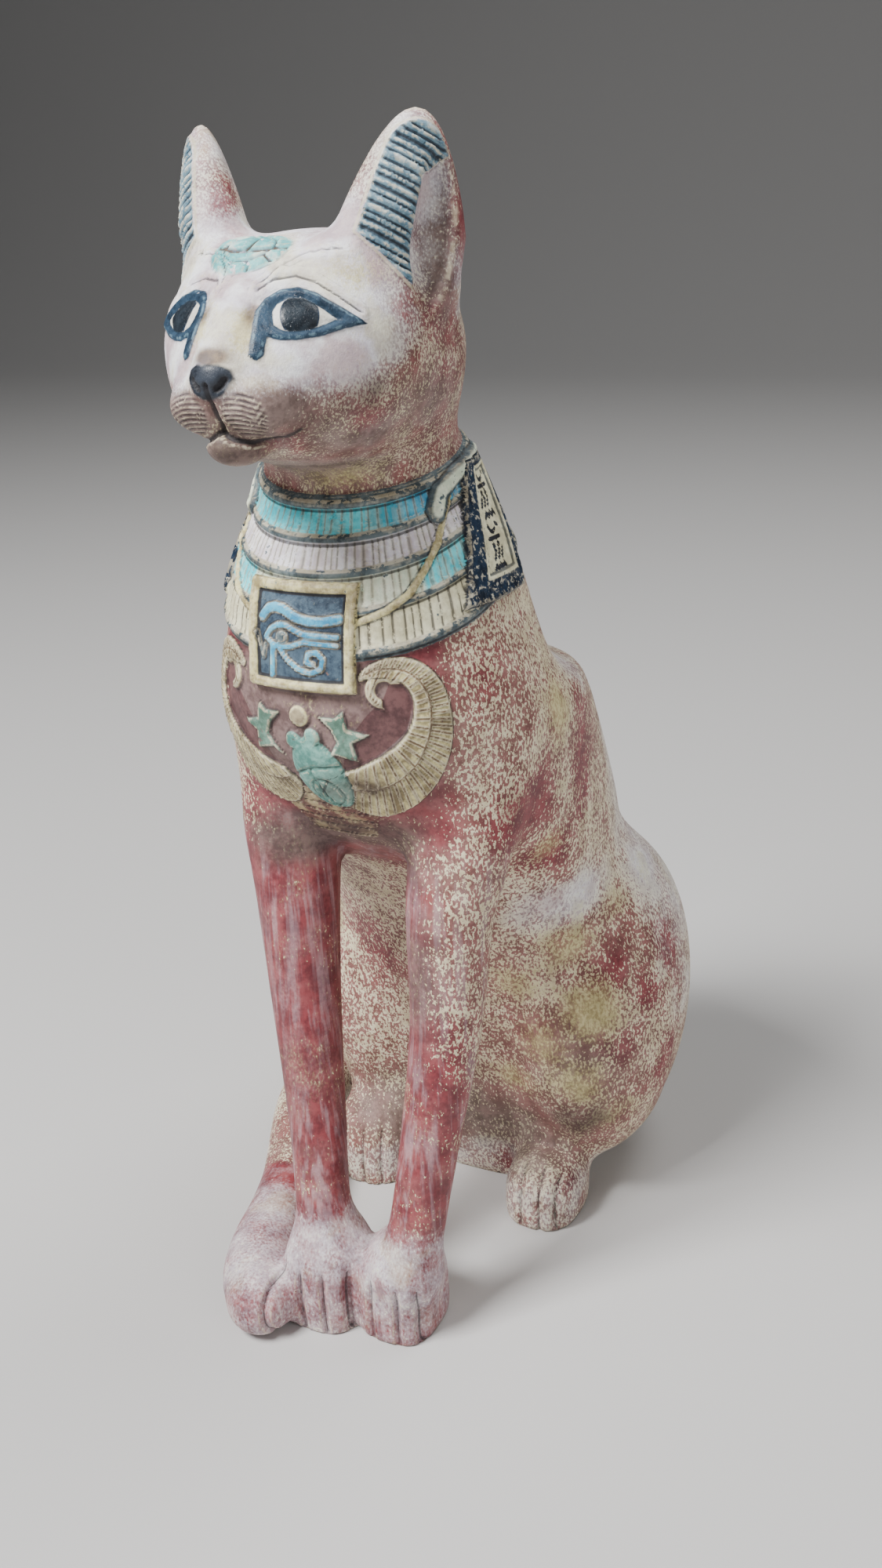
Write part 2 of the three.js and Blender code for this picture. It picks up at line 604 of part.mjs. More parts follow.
// Where facets are worth more: the face, the collar and the breast
function worth(x, y, z) {
  if (z < 1 - BASE_DEPTH / 2) return 0.05;
  if (z > 312 && y < -60) return 9;
  if (z > 188 && z < 305 && y < -40) return 6;
  if (z > 240 && z < 310) return y < 5 ? 2.5 : 1.2;
  if (z > 350) return 1.6;
  if (z < 34 && y < 20) return 1.4;
  return 0.45;
}

// Merges edges, least change first, until few enough facets are left
function simplify({ points, faces }, target) {
  const count = points.length / 3;
  const faceCount = faces.length / 3;
  const P = Float64Array.from(points);
  const F = Int32Array.from(faces);
  const Q = new Float64Array(count * 10);
  const M = new Float64Array(10);
  const at = new Float64Array(3);
  const around = Array.from({ length: count }, () => []);
  const alive = new Uint8Array(faceCount).fill(1);
  const stamp = new Int32Array(count);
  const normal = new Float64Array(4);
  const setNormal = (a, b, c) => {
    const ux = P[3 * b] - P[3 * a];
    const uy = P[3 * b + 1] - P[3 * a + 1];
    const uz = P[3 * b + 2] - P[3 * a + 2];
    const vx = P[3 * c] - P[3 * a];
    const vy = P[3 * c + 1] - P[3 * a + 1];
    const vz = P[3 * c + 2] - P[3 * a + 2];
    normal[0] = uy * vz - uz * vy;
    normal[1] = uz * vx - ux * vz;
    normal[2] = ux * vy - uy * vx;
    normal[3] = long3(normal[0], normal[1], normal[2]);
  };
  for (let f = 0; f < faceCount; f += 1) {
    const p = F[3 * f];
    setNormal(p, F[3 * f + 1], F[3 * f + 2]);
    const area = normal[3] || 1e-12;
    const a = normal[0] / area;
    const b = normal[1] / area;
    const c = normal[2] / area;
    const d = -(a * P[3 * p] + b * P[3 * p + 1] + c * P[3 * p + 2]);
    const w = area * worth(P[3 * p], P[3 * p + 1], P[3 * p + 2]);
    const q = [a * a, a * b, a * c, a * d, b * b, b * c, b * d, c * c, c * d, d * d];
    for (let i = 0; i < 3; i += 1) {
      around[F[3 * f + i]].push(f);
      for (let j = 0; j < 10; j += 1) Q[F[3 * f + i] * 10 + j] += w * q[j];
    }
  }
  const change = (x, y, z) => x * x * M[0] + y * y * M[4] + z * z * M[7] + M[9]
    + 2 * (x * y * M[1] + x * z * M[2] + y * z * M[5] + x * M[3] + y * M[6] + z * M[8]);
  const gap2 = (p, q) => (P[3 * p] - P[3 * q]) ** 2 + (P[3 * p + 1] - P[3 * q + 1]) ** 2
    + (P[3 * p + 2] - P[3 * q + 2]) ** 2;
  // Finds the best place for the merged vertex and returns what the merge costs
  const price = (p, q) => {
    for (let i = 0; i < 10; i += 1) M[i] = Q[p * 10 + i] + Q[q * 10 + i];
    const c0 = M[4] * M[7] - M[5] * M[5];
    const c1 = M[2] * M[5] - M[1] * M[7];
    const c2 = M[1] * M[5] - M[2] * M[4];
    const det = M[0] * c0 + M[1] * c1 + M[2] * c2;
    const scale = (M[0] + M[4] + M[7]) / 3;
    const span = gap2(p, q);
    if (Math.abs(det) > 1e-4 * scale ** 3) {
      const x = -(c0 * M[3] + c1 * M[6] + c2 * M[8]) / det;
      const y = -(c1 * M[3] + (M[0] * M[7] - M[2] * M[2]) * M[6] + (M[1] * M[2] - M[0] * M[5]) * M[8]) / det;
      const z = -(c2 * M[3] + (M[1] * M[2] - M[0] * M[5]) * M[6] + (M[0] * M[4] - M[1] * M[1]) * M[8]) / det;
      const away = (x - (P[3 * p] + P[3 * q]) / 2) ** 2 + (y - (P[3 * p + 1] + P[3 * q + 1]) / 2) ** 2
        + (z - (P[3 * p + 2] + P[3 * q + 2]) / 2) ** 2;
      if (away < 1.5 * span) {
        at.set([x, y, z]);
        return change(x, y, z) + 1e-5 * span;
      }
    }
    let least = Infinity;
    for (let t = 0; t <= 1; t += 0.5) {
      const x = mix(P[3 * p], P[3 * q], t);
      const y = mix(P[3 * p + 1], P[3 * q + 1], t);
      const z = mix(P[3 * p + 2], P[3 * q + 2], t);
      const value = change(x, y, z);
      if (value < least) {
        least = value;
        at.set([x, y, z]);
      }
    }
    return least + 1e-5 * span;
  };
  const keys = [];
  const slots = [];
  const lift = (i, key, slot) => {
    let at0 = i;
    while (at0 > 0) {
      const up = (at0 - 1) >> 1;
      if (keys[up] <= key) break;
      keys[at0] = keys[up];
      slots[at0] = slots[up];
      at0 = up;
    }
    keys[at0] = key;
    slots[at0] = slot;
  };
  const sink = (key, slot) => {
    let i = 0;
    for (;;) {
      let c = 2 * i + 1;
      if (c >= keys.length) break;
      if (c + 1 < keys.length && keys[c + 1] < keys[c]) c += 1;
      if (key <= keys[c]) break;
      keys[i] = keys[c];
      slots[i] = slots[c];
      i = c;
    }
    keys[i] = key;
    slots[i] = slot;
  };
  const pairP = [];
  const pairQ = [];
  const pairStamp = [];
  const offer = (p, q) => {
    const slot = pairP.length;
    pairP.push(p);
    pairQ.push(q);
    pairStamp.push(stamp[p] + stamp[q]);
    keys.push(0);
    slots.push(0);
    lift(keys.length - 1, price(p, q), slot);
  };
  const ring = (p) => {
    const out = [];
    for (const f of around[p]) {
      for (let i = 0; i < 3; i += 1) {
        const v = F[3 * f + i];
        if (v !== p && !out.includes(v)) out.push(v);
      }
    }
    return out;
  };
  // True when moving p would turn one of its facets over
  const turns = (p, other) => {
    for (const f of around[p]) {
      const a = F[3 * f];
      const b = F[3 * f + 1];
      const c = F[3 * f + 2];
      if (a === other || b === other || c === other) continue;
      setNormal(a, b, c);
      const [nx, ny, nz, size] = normal;
      const [x, y, z] = [P[3 * p], P[3 * p + 1], P[3 * p + 2]];
      P.set(at, 3 * p);
      setNormal(a, b, c);
      P[3 * p] = x;
      P[3 * p + 1] = y;
      P[3 * p + 2] = z;
      const dot = nx * normal[0] + ny * normal[1] + nz * normal[2];
      if (dot < 0.35 * size * normal[3] || normal[3] < 1e-4) return true;
    }
    return false;
  };
  for (let f = 0; f < faceCount; f += 1) {
    for (let i = 0; i < 3; i += 1) {
      const p = F[3 * f + i];
      const q = F[3 * f + ((i + 1) % 3)];
      if (p < q) offer(p, q);
    }
  }
  let left = faceCount;
  while (left > target && keys.length) {
    const slot = slots[0];
    const lastKey = keys.pop();
    const lastSlot = slots.pop();
    if (keys.length) sink(lastKey, lastSlot);
    const p = pairP[slot];
    const q = pairQ[slot];
    if (stamp[p] + stamp[q] !== pairStamp[slot] || !around[p].length || !around[q].length) continue;
    const rp = ring(p);
    const rq = ring(q);
    if (!rp.includes(q)) continue;
    let shared = 0;
    for (const v of rp) if (rq.includes(v)) shared += 1;
    if (shared !== 2 || rp.length + rq.length < 9) continue;
    price(p, q);
    if (turns(p, q) || turns(q, p)) continue;
    P.set(at, 3 * p);
    for (let i = 0; i < 10; i += 1) Q[p * 10 + i] += Q[q * 10 + i];
    const kept = [];
    for (const f of around[p]) {
      if (F[3 * f] === q || F[3 * f + 1] === q || F[3 * f + 2] === q) {
        alive[f] = 0;
        left -= 1;
      } else kept.push(f);
    }
    for (const f of around[q]) {
      if (!alive[f]) continue;
      for (let i = 0; i < 3; i += 1) if (F[3 * f + i] === q) F[3 * f + i] = p;
      kept.push(f);
    }
    around[p] = kept;
    around[q] = [];
    stamp[p] += 1;
    for (const v of ring(p)) {
      around[v] = around[v].filter((f) => alive[f]);
      offer(p, v);
    }
  }
  const ids = new Map();
  const outPoints = [];
  const outFaces = [];
  for (let f = 0; f < faceCount; f += 1) {
    if (!alive[f]) continue;
    for (let i = 0; i < 3; i += 1) {
      const v = F[3 * f + i];
      if (!ids.has(v)) {
        ids.set(v, outPoints.length / 3);
        outPoints.push(P[3 * v], P[3 * v + 1], P[3 * v + 2]);
      }
      outFaces.push(ids.get(v));
    }
  }
  return { points: outPoints, faces: outFaces };
}

// Solid joining and cutting
const wasm = await Module();
wasm.setup();
const { Manifold, Mesh } = wasm;

function toSolid(points, faces) {
  const mesh = new Mesh({
    numProp: 3,
    vertProperties: Float32Array.from(points),
    triVerts: Uint32Array.from(faces),
  });
  return new Manifold(mesh);
}

function boxSolid(width, depth, height, x, y, z) {
  const geometry = new THREE.BoxGeometry(width, depth, height).translate(x, y, z);
  const position = geometry.getAttribute('position');
  const seen = new Map();
  const points = [];
  const ids = [];
  for (let i = 0; i < position.count; i += 1) {
    const at = [position.getX(i), position.getY(i), position.getZ(i)];
    const key = at.join(' ');
    if (!seen.has(key)) {
      seen.set(key, points.length / 3);
      points.push(...at);
    }
    ids.push(seen.get(key));
  }
  return toSolid(points, Array.from(geometry.index.array, (i) => ids[i]));
}

function toGeometry(solid) {
  const mesh = solid.getMesh();
  const geometry = new THREE.BufferGeometry();
  const positions = new Float32Array(mesh.numVert * 3);
  for (let i = 0; i < mesh.numVert; i += 1) {
    for (let d = 0; d < 3; d += 1) positions[3 * i + d] = mesh.vertProperties[i * mesh.numProp + d];
  }
  geometry.setAttribute('position', new THREE.BufferAttribute(positions, 3));
  geometry.setIndex(Array.from(mesh.triVerts));
  geometry.computeVertexNormals();
  return geometry;
}

const grid = sampleField();
tidyGrid(grid);
const carved = simplify(netSurface(grid), MOST_FACETS);
const placed = carved.points.map((v, i) => (v - (i % 3 === 1 ? SEAT_CENTRE : 0)) * UNIT[i % 3]);
const stock = toSolid(placed, carved.faces);
const floorCut = boxSolid(BREADTH * 3, LENGTH * 3, HEIGHT / 10, 0, 0, -HEIGHT / 20);
const cut = stock.subtract(floorCut);

const figureMaterial = new THREE.MeshStandardMaterial({ color: 0x9c5a52, roughness: 0.7 });
const cat = new THREE.Mesh(toGeometry(cut), figureMaterial);
cat.name = 'cat_figure';

const group = new THREE.Group();
group.name = 'bastet_cat_figure';
group.add(cat);

export default group;
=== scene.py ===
import logging
from dataclasses import dataclass, field
from enum import Enum
from typing import Callable, Sequence

import bmesh
import bpy
import numpy as np
from mathutils import Matrix, Vector


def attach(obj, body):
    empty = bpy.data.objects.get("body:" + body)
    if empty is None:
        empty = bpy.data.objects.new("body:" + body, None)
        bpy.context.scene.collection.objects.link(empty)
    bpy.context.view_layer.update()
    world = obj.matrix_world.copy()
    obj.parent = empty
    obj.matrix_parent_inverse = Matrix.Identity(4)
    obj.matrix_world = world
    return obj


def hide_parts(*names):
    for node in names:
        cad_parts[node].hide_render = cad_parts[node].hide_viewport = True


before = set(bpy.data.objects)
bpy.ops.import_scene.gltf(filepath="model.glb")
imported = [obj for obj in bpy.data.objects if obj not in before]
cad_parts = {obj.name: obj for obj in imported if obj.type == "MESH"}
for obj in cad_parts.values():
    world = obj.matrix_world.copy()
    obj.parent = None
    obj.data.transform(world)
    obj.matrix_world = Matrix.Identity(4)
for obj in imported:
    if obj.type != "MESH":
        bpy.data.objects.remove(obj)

Array = np.ndarray
Rows = Sequence[Sequence[float]]
Color = tuple[float, float, float]
log = logging.getLogger("cat_figure")
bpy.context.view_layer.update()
NODE = "cat_figure"
SEAT_CENTRE = 70.0          # carving Y of the part's origin, in millimetres
MM = 0.001


# Distances and profiles, in carving units of one millimetre

def fade(t: Array) -> Array:
    """Rises smoothly from 0 at t = 0 to 1 at t = 1."""
    s = np.clip(t, 0.0, 1.0)
    return s * s * (3.0 - 2.0 * s)


def bump(d: Array, half: float) -> Array:
    """Rounded ridge, 1 on the line and 0 from half outwards."""
    return np.clip(1.0 - (d / half) ** 2, 0.0, None)


def inside(d: Array, soft: float) -> Array:
    """1 inside a distance of zero and 0 outside, over a soft width."""
    return fade(0.5 - d / soft)


def smooth_min(a: Array, b: Array, k: float) -> Array:
    """Union of two distances with a fillet of about k."""
    h = np.clip(k - np.abs(a - b), 0.0, None) / k
    return np.minimum(a, b) - h * h * k * 0.25


def smooth_max(a: Array, b: Array, k: float) -> Array:
    """Intersection of two distances with a rounded edge of about k."""
    return -smooth_min(-a, -b, k)


class Curve:
    """Smooth curve through rows of (parameter, value, value, ...)."""

    def __init__(self, rows: Rows) -> None:
        """Reads the rows and works out the slope at each.

        Args:
            rows: Rows of a parameter and its values, in rising order.
        """
        table = np.array(rows, float)
        self.at, self.values = table[:, 0], table[:, 1:]
        last = len(table) - 1
        low, high = np.maximum(np.arange(last + 1) - 1, 0), np.minimum(np.arange(last + 1) + 1, last)
        self.slopes = (self.values[high] - self.values[low]) / (self.at[high] - self.at[low])[:, None]

    def __call__(self, t: Array) -> Array:
        """Values at each t, one row for each.

        Args:
            t: Parameters, held to the range of the rows.

        Returns:
            One row of values for each t.
        """
        t = np.clip(np.asarray(t, float), self.at[0], self.at[-1])
        i = np.clip(np.searchsorted(self.at, t) - 1, 0, len(self.at) - 2)
        h = (self.at[i + 1] - self.at[i])[:, None]
        s = (t - self.at[i])[:, None] / h
        a, b = self.values[i], self.values[i + 1]
        return ((2 * s**3 - 3 * s**2 + 1) * a + (s**3 - 2 * s**2 + s) * h * self.slopes[i]
                + (3 * s**2 - 2 * s**3) * b + (s**3 - s**2) * h * self.slopes[i + 1])


@dataclass
class Points:
    """Positions in the carving's own frame: millimetres, the cat looks along -Y."""

    x: Array
    y: Array
    z: Array

    @classmethod
    def of(cls, table: Array) -> "Points":
        """Takes the columns of a table of positions."""
        return cls(table[:, 0], table[:, 1], table[:, 2])

    @property
    def ax(self) -> Array:
        """Distance from the middle plane."""
        return np.abs(self.x)

    def take(self, mask: Array) -> "Points":
        """The positions where mask is true."""
        return Points(self.x[mask], self.y[mask], self.z[mask])

    def folded(self) -> "Points":
        """The same positions with both sides laid on the cat's left."""
        return Points(np.abs(self.x), self.y, self.z)


def ellipsoid(p: Points, centre: Sequence[float], radii: Sequence[float], tilt: float = 0.0) -> Array:
    """Distance to an ellipsoid, turned about X by tilt radians.

    Args:
        p: Positions in carving units.
        centre: Its middle.
        radii: Its three half lengths.
        tilt: Turn about X in radians.

    Returns:
        Signed distance, near enough close to the surface.
    """
    dx, ty, tz = p.x - centre[0], p.y - centre[1], p.z - centre[2]
    dy = np.cos(tilt) * ty + np.sin(tilt) * tz
    dz = -np.sin(tilt) * ty + np.cos(tilt) * tz
    a = np.sqrt((dx / radii[0])**2 + (dy / radii[1])**2 + (dz / radii[2])**2)
    b = np.sqrt((dx / radii[0]**2)**2 + (dy / radii[1]**2)**2 + (dz / radii[2]**2)**2)
    return a * (a - 1.0) / np.maximum(b, 1e-9)


def path_distance(p: Points, joints: Array) -> Array:
    """Least distance to a run of joints (x, y, z, radius), less the radius there.

    Args:
        p: Positions in carving units.
        joints: Rows of x, y, z and radius.

    Returns:
        Signed distance to the thickened run.
    """
    best = np.full(len(p.x), 1e9)
    for a, b in zip(joints[:-1], joints[1:]):
        run = b[:3] - a[:3]
        px, py, pz = p.x - a[0], p.y - a[1], p.z - a[2]
        t = np.clip((px * run[0] + py * run[1] + pz * run[2]) / (run @ run), 0.0, 1.0)
        d = np.sqrt((px - run[0] * t)**2 + (py - run[1] * t)**2 + (pz - run[2] * t)**2)
        best = np.minimum(best, d - a[3] - (b[3] - a[3]) * t)
    return best


def bent(rows: Rows, steps: int) -> Array:
    """Rows of (x, y, z, radius) made into a smooth run of joints."""
    at = Curve([[i, *row] for i, row in enumerate(rows)])
    return at(np.linspace(0.0, len(rows) - 1.0, (len(rows) - 1) * steps + 1))


def cushion(p: Points, centre: Sequence[float], halves: Sequence[float], n: float) -> Array:
    """Length from the centre in a rounded block's own measure, 1 on its faces."""
    x, y, z = ((v - c) / h for v, c, h in zip((p.x, p.y, p.z), centre, halves))
    return (np.abs(x)**n + np.abs(y)**n + np.abs(z)**n) ** (1.0 / n)


def stroke(u: Array, v: Array, points: Rows) -> Array:
    """Distance in a plane to a line drawn through points.

    Args:
        u: First coordinate in the plane.
        v: Second coordinate in the plane.
        points: Corners of the line.

    Returns:
        Distance to the nearest part of the line.
    """
    best = np.full(u.shape, 1e9)
    for a, b in zip(points[:-1], points[1:]):
        du, dv = b[0] - a[0], b[1] - a[1]
        t = np.clip(((u - a[0]) * du + (v - a[1]) * dv) / (du * du + dv * dv), 0.0, 1.0)
        best = np.minimum(best, np.hypot(u - a[0] - du * t, v - a[1] - dv * t))
    return best


def outline(u: Array, v: Array, points: Rows) -> Array:
    """Signed distance in a plane to a closed outline, negative inside.

    Args:
        u: First coordinate in the plane.
        v: Second coordinate in the plane.
        points: Corners of the outline.

    Returns:
        Signed distance to the outline.
    """
    sign = np.ones(u.shape)
    closed = [*points, points[0]]
    for a, b in zip(closed[:-1], closed[1:]):
        if a[1] == b[1]:
            continue
        crossing = ((a[1] > v) != (b[1] > v)) & (u < (b[0] - a[0]) * (v - a[1]) / (b[1] - a[1]) + a[0])
        sign = np.where(crossing, -sign, sign)
    return sign * stroke(u, v, closed)


# The body's main forms

@dataclass
class Trunk:
    """Body and neck, lofted through level outlines."""

    stations: Rows = (       # level, front Y, widest Y, back Y, half width, squareness
        (-12, 36, 60, 92, 36, 2.4), (0, 34, 60, 95, 39, 2.4), (12, 31, 60, 105, 46, 2.4),
        (28, 28, 60, 119, 54, 2.4), (50, 24, 60, 128, 60, 2.3), (75, 18, 60, 130, 62, 2.3),
        (110, 7, 52, 119.6, 60, 2.2), (140, -4, 38, 112, 55.5, 2.2), (165, -20, 26, 106, 55, 2.2),
        (185, -43, 14, 99, 54.5, 2.2), (203, -57, 4, 88, 55, 2.2), (214, -63, 0, 77.5, 55.5, 2.2),
        (222, -66, -5, 68, 55.5, 2.2), (228, -67, -9, 49, 54.5, 2.2), (236, -67.5, -14, 36, 52.5, 2.2),
        (250, -66.4, -18, 32, 48.8, 2.2), (266, -63.8, -19, 28, 44.8, 2.2), (280, -58.2, -19, 23, 40, 2.15),
        (293, -51.2, -20, 16.5, 34.6, 2.1), (303, -49.3, -22, 10.5, 31.6, 2.05), (318, -51, -26, -1, 31, 2.1),
        (345, -54, -29, -4, 31, 2.1),
    )
    haunch: Rows = ((44, 68, 77), (31, 52, 64))
    haunch_tilt: float = -0.14

    def distance(self, p: Points) -> Array:
        """Distance to the trunk without the haunches.

        Args:
            p: Positions in carving units.

        Returns:
            Signed distance in millimetres.
        """
        front, wide, back, half, n = Curve(self.stations)(p.z).T
        depth = np.where(p.y < wide, wide - front, back - wide)
        q = ((p.ax / half)**n + (np.abs(p.y - wide) / depth)**n) ** (1.0 / n)
        return smooth_max((q - 1.0) * np.minimum(half, depth) * 0.9, p.z - 345.0, 12.0)

    def haunches(self, p: Points) -> Array:
        """Distance to the two haunches."""
        return ellipsoid(p.folded(), *self.haunch, self.haunch_tilt)


@dataclass
class Head:
    """Skull, muzzle, nose bridge, whisker pads and chin."""

    y: float = -42.0
    z: float = 339.5
    front: float = 46.0
    back: float = 35.4
    half: float = 39.2
    up: float = 32.0
    down: float = 33.0
    muzzle: Rows = ((0, -78, 334), (19, 20, 15))          # centre, half sizes
    pad: Rows = ((8, -89.5, 330), (9.8, 11, 7.5))
    chin: Rows = ((0, -89, 320), (8.3, 9.8, 6))
    bridge: Rows = ((0, -96, 337.5, 5), (0, -81, 352, 7))

    def distance(self, p: Points) -> Array:
        """Distance to the head without the ears.

        Args:
            p: Positions in carving units.

        Returns:
            Signed distance in millimetres.
        """
        p = p.folded()
        dy, dz = p.y - self.y, p.z - self.z
        b = np.where(dy < 0.0, self.front, self.back)
        h = np.where(dz > 0.0, self.up, self.down)
        ring = (p.x / self.half)**2.5 + (np.abs(dy) / b)**2.5
        q = (ring**0.88 + (np.abs(dz) / h)**2.2) ** (1.0 / 2.2)
        d = (q - 1.0) * np.minimum(np.minimum(b, h), self.half)
        d = smooth_min(d, ellipsoid(p, *self.muzzle), 12.0)
        d = smooth_min(d, path_distance(p, np.array(self.bridge, float)), 6.0)
        d = smooth_min(d, ellipsoid(p, *self.pad), 4.0)
        return smooth_min(d, ellipsoid(p, *self.chin), 3.0)


@dataclass
class Ears:
    """Two tall ears, each a blade turned in plan and hollowed on its open side."""

    tip: tuple[float, float, float] = (34.0, -42.0, 400.0)
    turn: float = np.radians(52.0)
    lean: tuple[float, float] = (0.15, 0.16)
    wide: float = 3.5
    thick: float = 1.85
    low: float = 52.0

    def frame(self, p: Points) -> tuple[Array, Array, Array]:
        """Depth below the tip, place across the blade and place out of its open side.

        Args:
            p: Positions in carving units.

        Returns:
            Three arrays in the order above, in millimetres.
        """
        d = self.tip[2] - p.z
        px = p.ax - self.tip[0] + self.lean[0] * d
        py = p.y - self.tip[1] + self.lean[1] * d
        c, s = np.cos(self.turn), np.sin(self.turn)
        return d, c * px + s * py, s * px - c * py

    def widths(self, d: Array) -> tuple[Array, Array]:
        """Half breadth and half thickness of the blade at depth d."""
        deep = np.maximum(d, 0.01)
        return self.wide * np.sqrt(np.minimum(deep, 33.0)), self.thick * np.sqrt(np.minimum(deep, 26.0))

    def distance(self, p: Points) -> Array:
        """Distance to the hollowed ears.

        Args:
            p: Positions in carving units.

        Returns:
            Signed distance in millimetres.
        """
        d, along, out = self.frame(p)
        wide, thick = self.widths(d)
        q = ((np.abs(along) / wide)**2.2 + (np.abs(out) / thick)**2.2) ** (1.0 / 2.2)
        shell = np.where(d <= 0.0, np.sqrt(along**2 + out**2 + d**2), np.maximum((q - 1.0) * thick * 0.85, -d))
        shell = smooth_max(shell, d - self.low, 8.0)
        hollow = ellipsoid(Points(along, out - thick, d), (6.5, 1.0, 33.0), (7.5, 8.0, 23.0))
        return smooth_max(shell, -hollow, 1.2)


@dataclass
class Legs:
    """Front legs, the four paws and the tail that lies round them."""

    foreleg: Rows = (
        (34, -25, 212, 17), (32, -32, 185, 17), (29, -38, 160, 14.6), (27.3, -42, 120, 12.3),
        (22.4, -50, 76, 10.3), (19, -56.5, 46, 9.8), (16, -58.5, 28, 11),
    )
    tail: Rows = (
        (0, 98, 13, 14), (-32, 108, 13.5, 15), (-62, 100, 13.5, 15), (-82, 78, 13.5, 14.5),
        (-85, 52, 13, 14), (-79, 28, 13, 13.8), (-69, 6, 12.8, 13.5), (-59, -16, 12.5, 13.2),
        (-53, -36, 12.3, 13), (-49, -54, 12.2, 13), (-43.5, -68, 12, 12.8), (-36, -78, 11.6, 12.3),
    )
    left_paw: Rows = ((9.5, -53.5, 11), (14.7, 16.5, 24))           # centre, half sizes
    right_paw: Rows = ((-18, -58, 11), (15.2, 17, 24))
    left_foot: Rows = ((34, 25, 8), (15, 19, 18.5))
    right_foot: Rows = ((-42, 28, 8), (17, 21, 29))

    def forelegs(self, p: Points) -> Array:
        """Distance to both front legs."""
        return path_distance(p.folded(), bent(self.foreleg, 4))

    def tail_run(self, p: Points) -> Array:
        """Distance to the tail."""
        return path_distance(p, bent(self.tail, 3))

    def forepaws(self, p: Points) -> Array:
        """Distance to both front paws, the right one a little further forward.

        Args:
            p: Positions in carving units.

        Returns:
            Signed distance in millimetres.
        """
        left = (cushion(p, *self.left_paw, 2.9) - 1.0) * 13.0
        right = (cushion(p, *self.right_paw, 2.9) - 1.0) * 13.0
        return smooth_min(left, right, 3.0)

    def hindpaws(self, p: Points) -> Array:
        """Distance to both hind paws.

        Args:
            p: Positions in carving units.

        Returns:
            Signed distance in millimetres.
        """
        left = (cushion(p, *self.left_foot, 2.6) - 1.0) * 13.0
        right = (cushion(p, *self.right_foot, 2.4) - 1.0) * 14.0
        return np.minimum(left, right)


@dataclass
class Body:
    """All main forms of the figure in one smooth distance field."""

    trunk: Trunk = field(default_factory=Trunk)
    head: Head = field(default_factory=Head)
    ears: Ears = field(default_factory=Ears)
    legs: Legs = field(default_factory=Legs)
    base_edge: float = 1.2

    def distance(self, p: Points) -> Array:
        """Distance to the figure without its low relief.

        Args:
            p: Positions in carving units.

        Returns:
            Signed distance in millimetres.
        """
        d = self.trunk.distance(p)

        def join(part: Callable[[Points], Array], where: Array, fillet: float) -> None:
            """Adds one form where it reaches.

            Args:
                part: Distance to the form.
                where: True where the form can reach.
                fillet: Width of the rounded joint.
            """
            if where.any():
                d[where] = smooth_min(d[where], part(p.take(where)), fillet)

        join(self.trunk.haunches, p.z < 165, 14.0)
        join(self.head.distance, p.z > 285, 9.0)
        join(self.ears.distance, p.z > 325, 7.0)
        join(self.legs.forelegs, (p.z < 250) & (p.y < 25), 9.0)
        join(self.legs.forepaws, (p.z < 60) & (p.y < 0), 8.0)
        join(self.legs.hindpaws, (p.z < 60) & (p.y < 75), 7.0)
        join(self.legs.tail_run, p.z < 50, 5.0)
        return smooth_max(d, -p.z, self.base_edge)

    def normal(self, table: Array) -> tuple[Array, Array]:
        """Distance and outward direction at each position of a table.

        Args:
            table: Positions in carving units, one row each.

        Returns:
            Signed distances, and unit directions one row each.
        """
        step = 0.15
        d = self.distance(Points.of(table))
        g = np.empty_like(table)
        for axis in range(3):
            moved = table.copy()
            moved[:, axis] += step
            g[:, axis] = self.distance(Points.of(moved)) - d
        slope = np.maximum(np.linalg.norm(g, axis=1), 1e-6)
        return d * step / slope, g / slope[:, None]

    def settle(self, table: Array, rounds: int) -> Array:
        """Moves each position on to the surface and returns the new table.

        Args:
            table: Positions in carving units, one row each.
            rounds: How many times they move.

        Returns:
            The moved positions.
        """
        for _ in range(rounds):
            d, n = self.normal(table)
            table = table - n * np.clip(d, -2.5, 2.5)[:, None]
        return table


# Carved details. Each gives its height over the body and the maps that its paint follows

Maps = dict[str, Array]
AWAY = 9.0          # a distance in millimetres at which a detail no longer shows


def paint_map(*values: Array) -> Array:
    """Table of three paint values for each position, with zeros for those not given."""
    spare = [np.zeros(values[0].shape)] * (3 - len(values))
    return np.stack([*values, *spare], 1)


